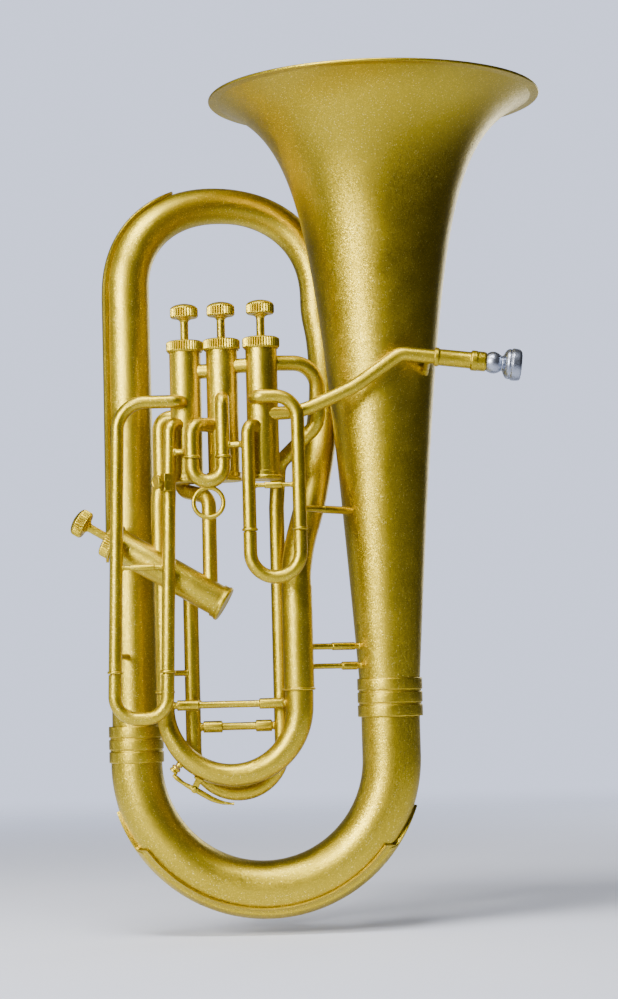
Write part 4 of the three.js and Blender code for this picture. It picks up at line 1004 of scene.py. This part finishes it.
def build_water_key():
    turn = Matrix.Rotation(-KEY_ANGLE, 3, "Y")
    parts = [bevelled_box(key_spot(0.3, 0), (2.0, 8.8, 7.6), turn, 0.6)]
    for side in (-3.6, 3.6):
        parts.append(bevelled_box(key_spot(4.6, 0.3, side), (8.6, 1.4, 5.0), turn, 0.5))
        start, stop = key_spot(*KEY_PIVOT, side - 0.7), key_spot(*KEY_PIVOT, side + 0.7)
        parts.append(rod(start, stop, [(0, 3.0), (1.4, 3.0)], 36))
    pin = [(0, 1.7), (0.7, 1.7), (0.8, 0.8), (9.0, 0.8), (9.1, 1.7), (9.8, 1.7)]
    parts.append(rod(key_spot(*KEY_PIVOT, -4.9), key_spot(*KEY_PIVOT, 4.9), pin, 24))
    made("water_key_saddle", joined(*parts), "main_slide")

    line = spline([
        key_spot(6.0, -19.6), key_spot(7.2, -15.4), key_spot(8.4, -10), key_spot(8.9, -4),
        key_spot(*KEY_PIVOT), key_spot(9.4, 8), key_spot(9.8, 17), key_spot(8.8, 25),
        key_spot(6.6, 31.5), key_spot(5.7, 33.4),
    ], 8)
    widths = [1.3, 1.9, 1.5, 1.9, 2.3, 2.3, 2.1, 1.5, 0.9, 1.2]
    radii = np.interp(np.linspace(0, len(widths) - 1, len(line)), range(len(widths)), widths)
    lever = tube([(point, radius, 0) for point, radius in zip(line, radii)], 24)
    barrel = rod(key_spot(*KEY_PIVOT, -2.6), key_spot(*KEY_PIVOT, 2.6), [(0, 2.5), (5.2, 2.5)], 32)
    cup = [(0, 3.5), (0.2, 3.9), (1.7, 3.9), (2.0, 3.1), (2.7, 3.1), (3.0, 3.7), (4.6, 3.7), (5.0, 2.4)]
    seat = rod(key_pad_spot(2.6), key_pad_spot(7.6), cup, 36)
    made("water_key_lever", joined(lever, barrel, seat), "water_key")
    pad = rod(key_pad_spot(1.85), key_pad_spot(2.9), [(0, 3.2), (1.05, 3.3)], 36)
    made("water_key_lever", pad, "water_key", CORK, name="water_key_cork")


LYRE_CENTRE = Vector((-69.4, -66.3, 343.8))
LYRE_TURN = math.radians(35)


def build_lyre_holder():
    turn = Matrix.Rotation(LYRE_TURN, 3, "Z")
    block = bevelled_box(LYRE_CENTRE, (7.6, 7.0, 13.6), turn, 0.7, hole=(3.2, 3.4))
    sleeve_x = slide1_x(1, LYRE_CENTRE.z)
    seat = Vector((sleeve_x, SLIDE1["y"] - SLIDE1["radius"] - 1.2, LYRE_CENTRE.z))
    bracket = bevelled_box(seat, (4.6, 2.8, 11.0), Matrix.Identity(3), 0.4)
    made("lyre_holder", joined(block, bracket))
    profile = [(0, 0.6), (3.9, 0.6), (4.4, 0), (5.2, 0), (5.6, 0.5), (5.6, 2.7), (5.1, 3.2), (2.8, 3.4)]
    profile += [(2.4, 3.9), (2.4, 6.0), (1.4, 6.4), (1.4, 9.6), (0, 9.6)]
    inwards = turn @ Vector((1, 0, 0))
    screw = placed(lathe(rounded(profile, 0.3), 48), LYRE_CENTRE - inwards * 10.4, inwards)
    made("lyre_screw", screw, "lyre_clamp_screw", GOLD)


# ------------------------------------------------------------------ studio
def build_floor():
    rings, sides = 24, 96
    vertices = [(0, 0, FLOOR_LEVEL)]
    for i in range(1, rings + 1):
        radius = FLOOR_REACH * i / rings
        for k in range(sides):
            angle = math.tau * k / sides
            vertices.append((radius * math.cos(angle), radius * math.sin(angle), FLOOR_LEVEL))
    faces = [(0, 1 + k, 1 + (k + 1) % sides) for k in range(sides)]
    for i in range(rings - 1):
        a, b = 1 + i * sides, 1 + (i + 1) * sides
        faces += [(a + k, b + k, b + (k + 1) % sides, a + (k + 1) % sides) for k in range(sides)]
    mesh = bpy.data.meshes.new("floor")
    mesh.from_pydata(vertices, [], faces)
    mesh.materials.append(floor_material())
    floor = bpy.data.objects.new("floor", mesh)
    floor.location = FLOOR_CENTRE
    bpy.context.scene.collection.objects.link(floor)


def area_light(name, place, target, size, power, colour):
    light = bpy.data.lights.new(name, "AREA")
    light.shape = "RECTANGLE"
    light.size, light.size_y = size
    light.energy = power
    light.color = colour
    lamp = bpy.data.objects.new(name, light)
    lamp.location = place
    lamp.rotation_euler = (Vector(target) - Vector(place)).to_track_quat("-Z", "Y").to_euler()
    bpy.context.scene.collection.objects.link(lamp)


def build_world():
    """A pale backdrop, which the metal reflects as a dim room with a bright wall behind the instrument."""
    world = bpy.data.worlds.new("studio")
    world.use_nodes = True
    tree = world.node_tree
    where = add_node(tree, "ShaderNodeTexCoord").outputs["Generated"]
    direction = add_node(tree, "ShaderNodeSeparateXYZ", {0: where})
    dim = (0.030, 0.030, 0.032)
    shades = [(0.0, dim), (0.60, dim), (0.85, (0.16, 0.17, 0.20)), (1.0, (0.50, 0.53, 0.64))]
    wall = ramp(tree, direction.outputs["Y"], shades)
    to_camera = add_node(tree, "ShaderNodeLightPath").outputs["Is Camera Ray"]
    choose = add_node(tree, "ShaderNodeMix", {"Factor": to_camera, "A": wall, "B": BACKDROP}, data_type="RGBA")
    tree.links.new(choose.outputs["Result"], tree.nodes["Background"].inputs["Color"])
    bpy.context.scene.world = world


def build_lights():
    middle = (0.02, 0, 0.33)
    area_light("key_light", (-1.25, -1.7, 0.95), middle, (0.85, 1.2), 84, (1, 0.985, 0.95))
    area_light("top_light", (-0.3, -0.75, 2.0), (0, 0, 0.1), (1.1, 0.6), 46, (1, 1, 1))
    area_light("rear_light", (0.9, 1.8, 0.9), middle, (0.5, 1.3), 10, (0.95, 0.97, 1))
    area_light("left_light", (-2.1, 0.5, 0.7), middle, (0.4, 1.4), 4, (0.95, 0.97, 1))


def build_camera():
    camera = bpy.data.cameras.new("camera")
    camera.sensor_width = CAMERA_SENSOR
    camera.lens = CAMERA_LENS
    camera.dof.use_dof = False
    eye = bpy.data.objects.new("camera", camera)
    pitch = Matrix.Rotation(math.pi / 2 + CAMERA_PITCH, 4, "X")
    eye.matrix_world = Matrix.Translation(CAMERA_PLACE) @ pitch @ Matrix.Rotation(CAMERA_ROLL, 4, "Z")
    bpy.context.scene.collection.objects.link(eye)
    bpy.context.scene.camera = eye


build_camera()
build_world()
build_lights()
build_floor()
build_bell()
build_ferrule("bell_ferrule", HALF_WIDTH, BELL_FERRULE)
build_bottom_bow()
build_bow_guard()
build_ferrule("branch_ferrule", -HALF_WIDTH, BRANCH_FERRULE)
build_top_bow()
build_branch_guard()
for number, loop_height in ((1, 33), (2, 27), (3, 27), (4, 0)):
    build_valve(number, loop_height)
build_slide1()
build_slide2()
build_slide3()
build_slide4()
build_main_slide()
build_connecting_tubes()
build_leadpipe()
build_mouthpiece()
build_water_key()
build_lyre_holder()
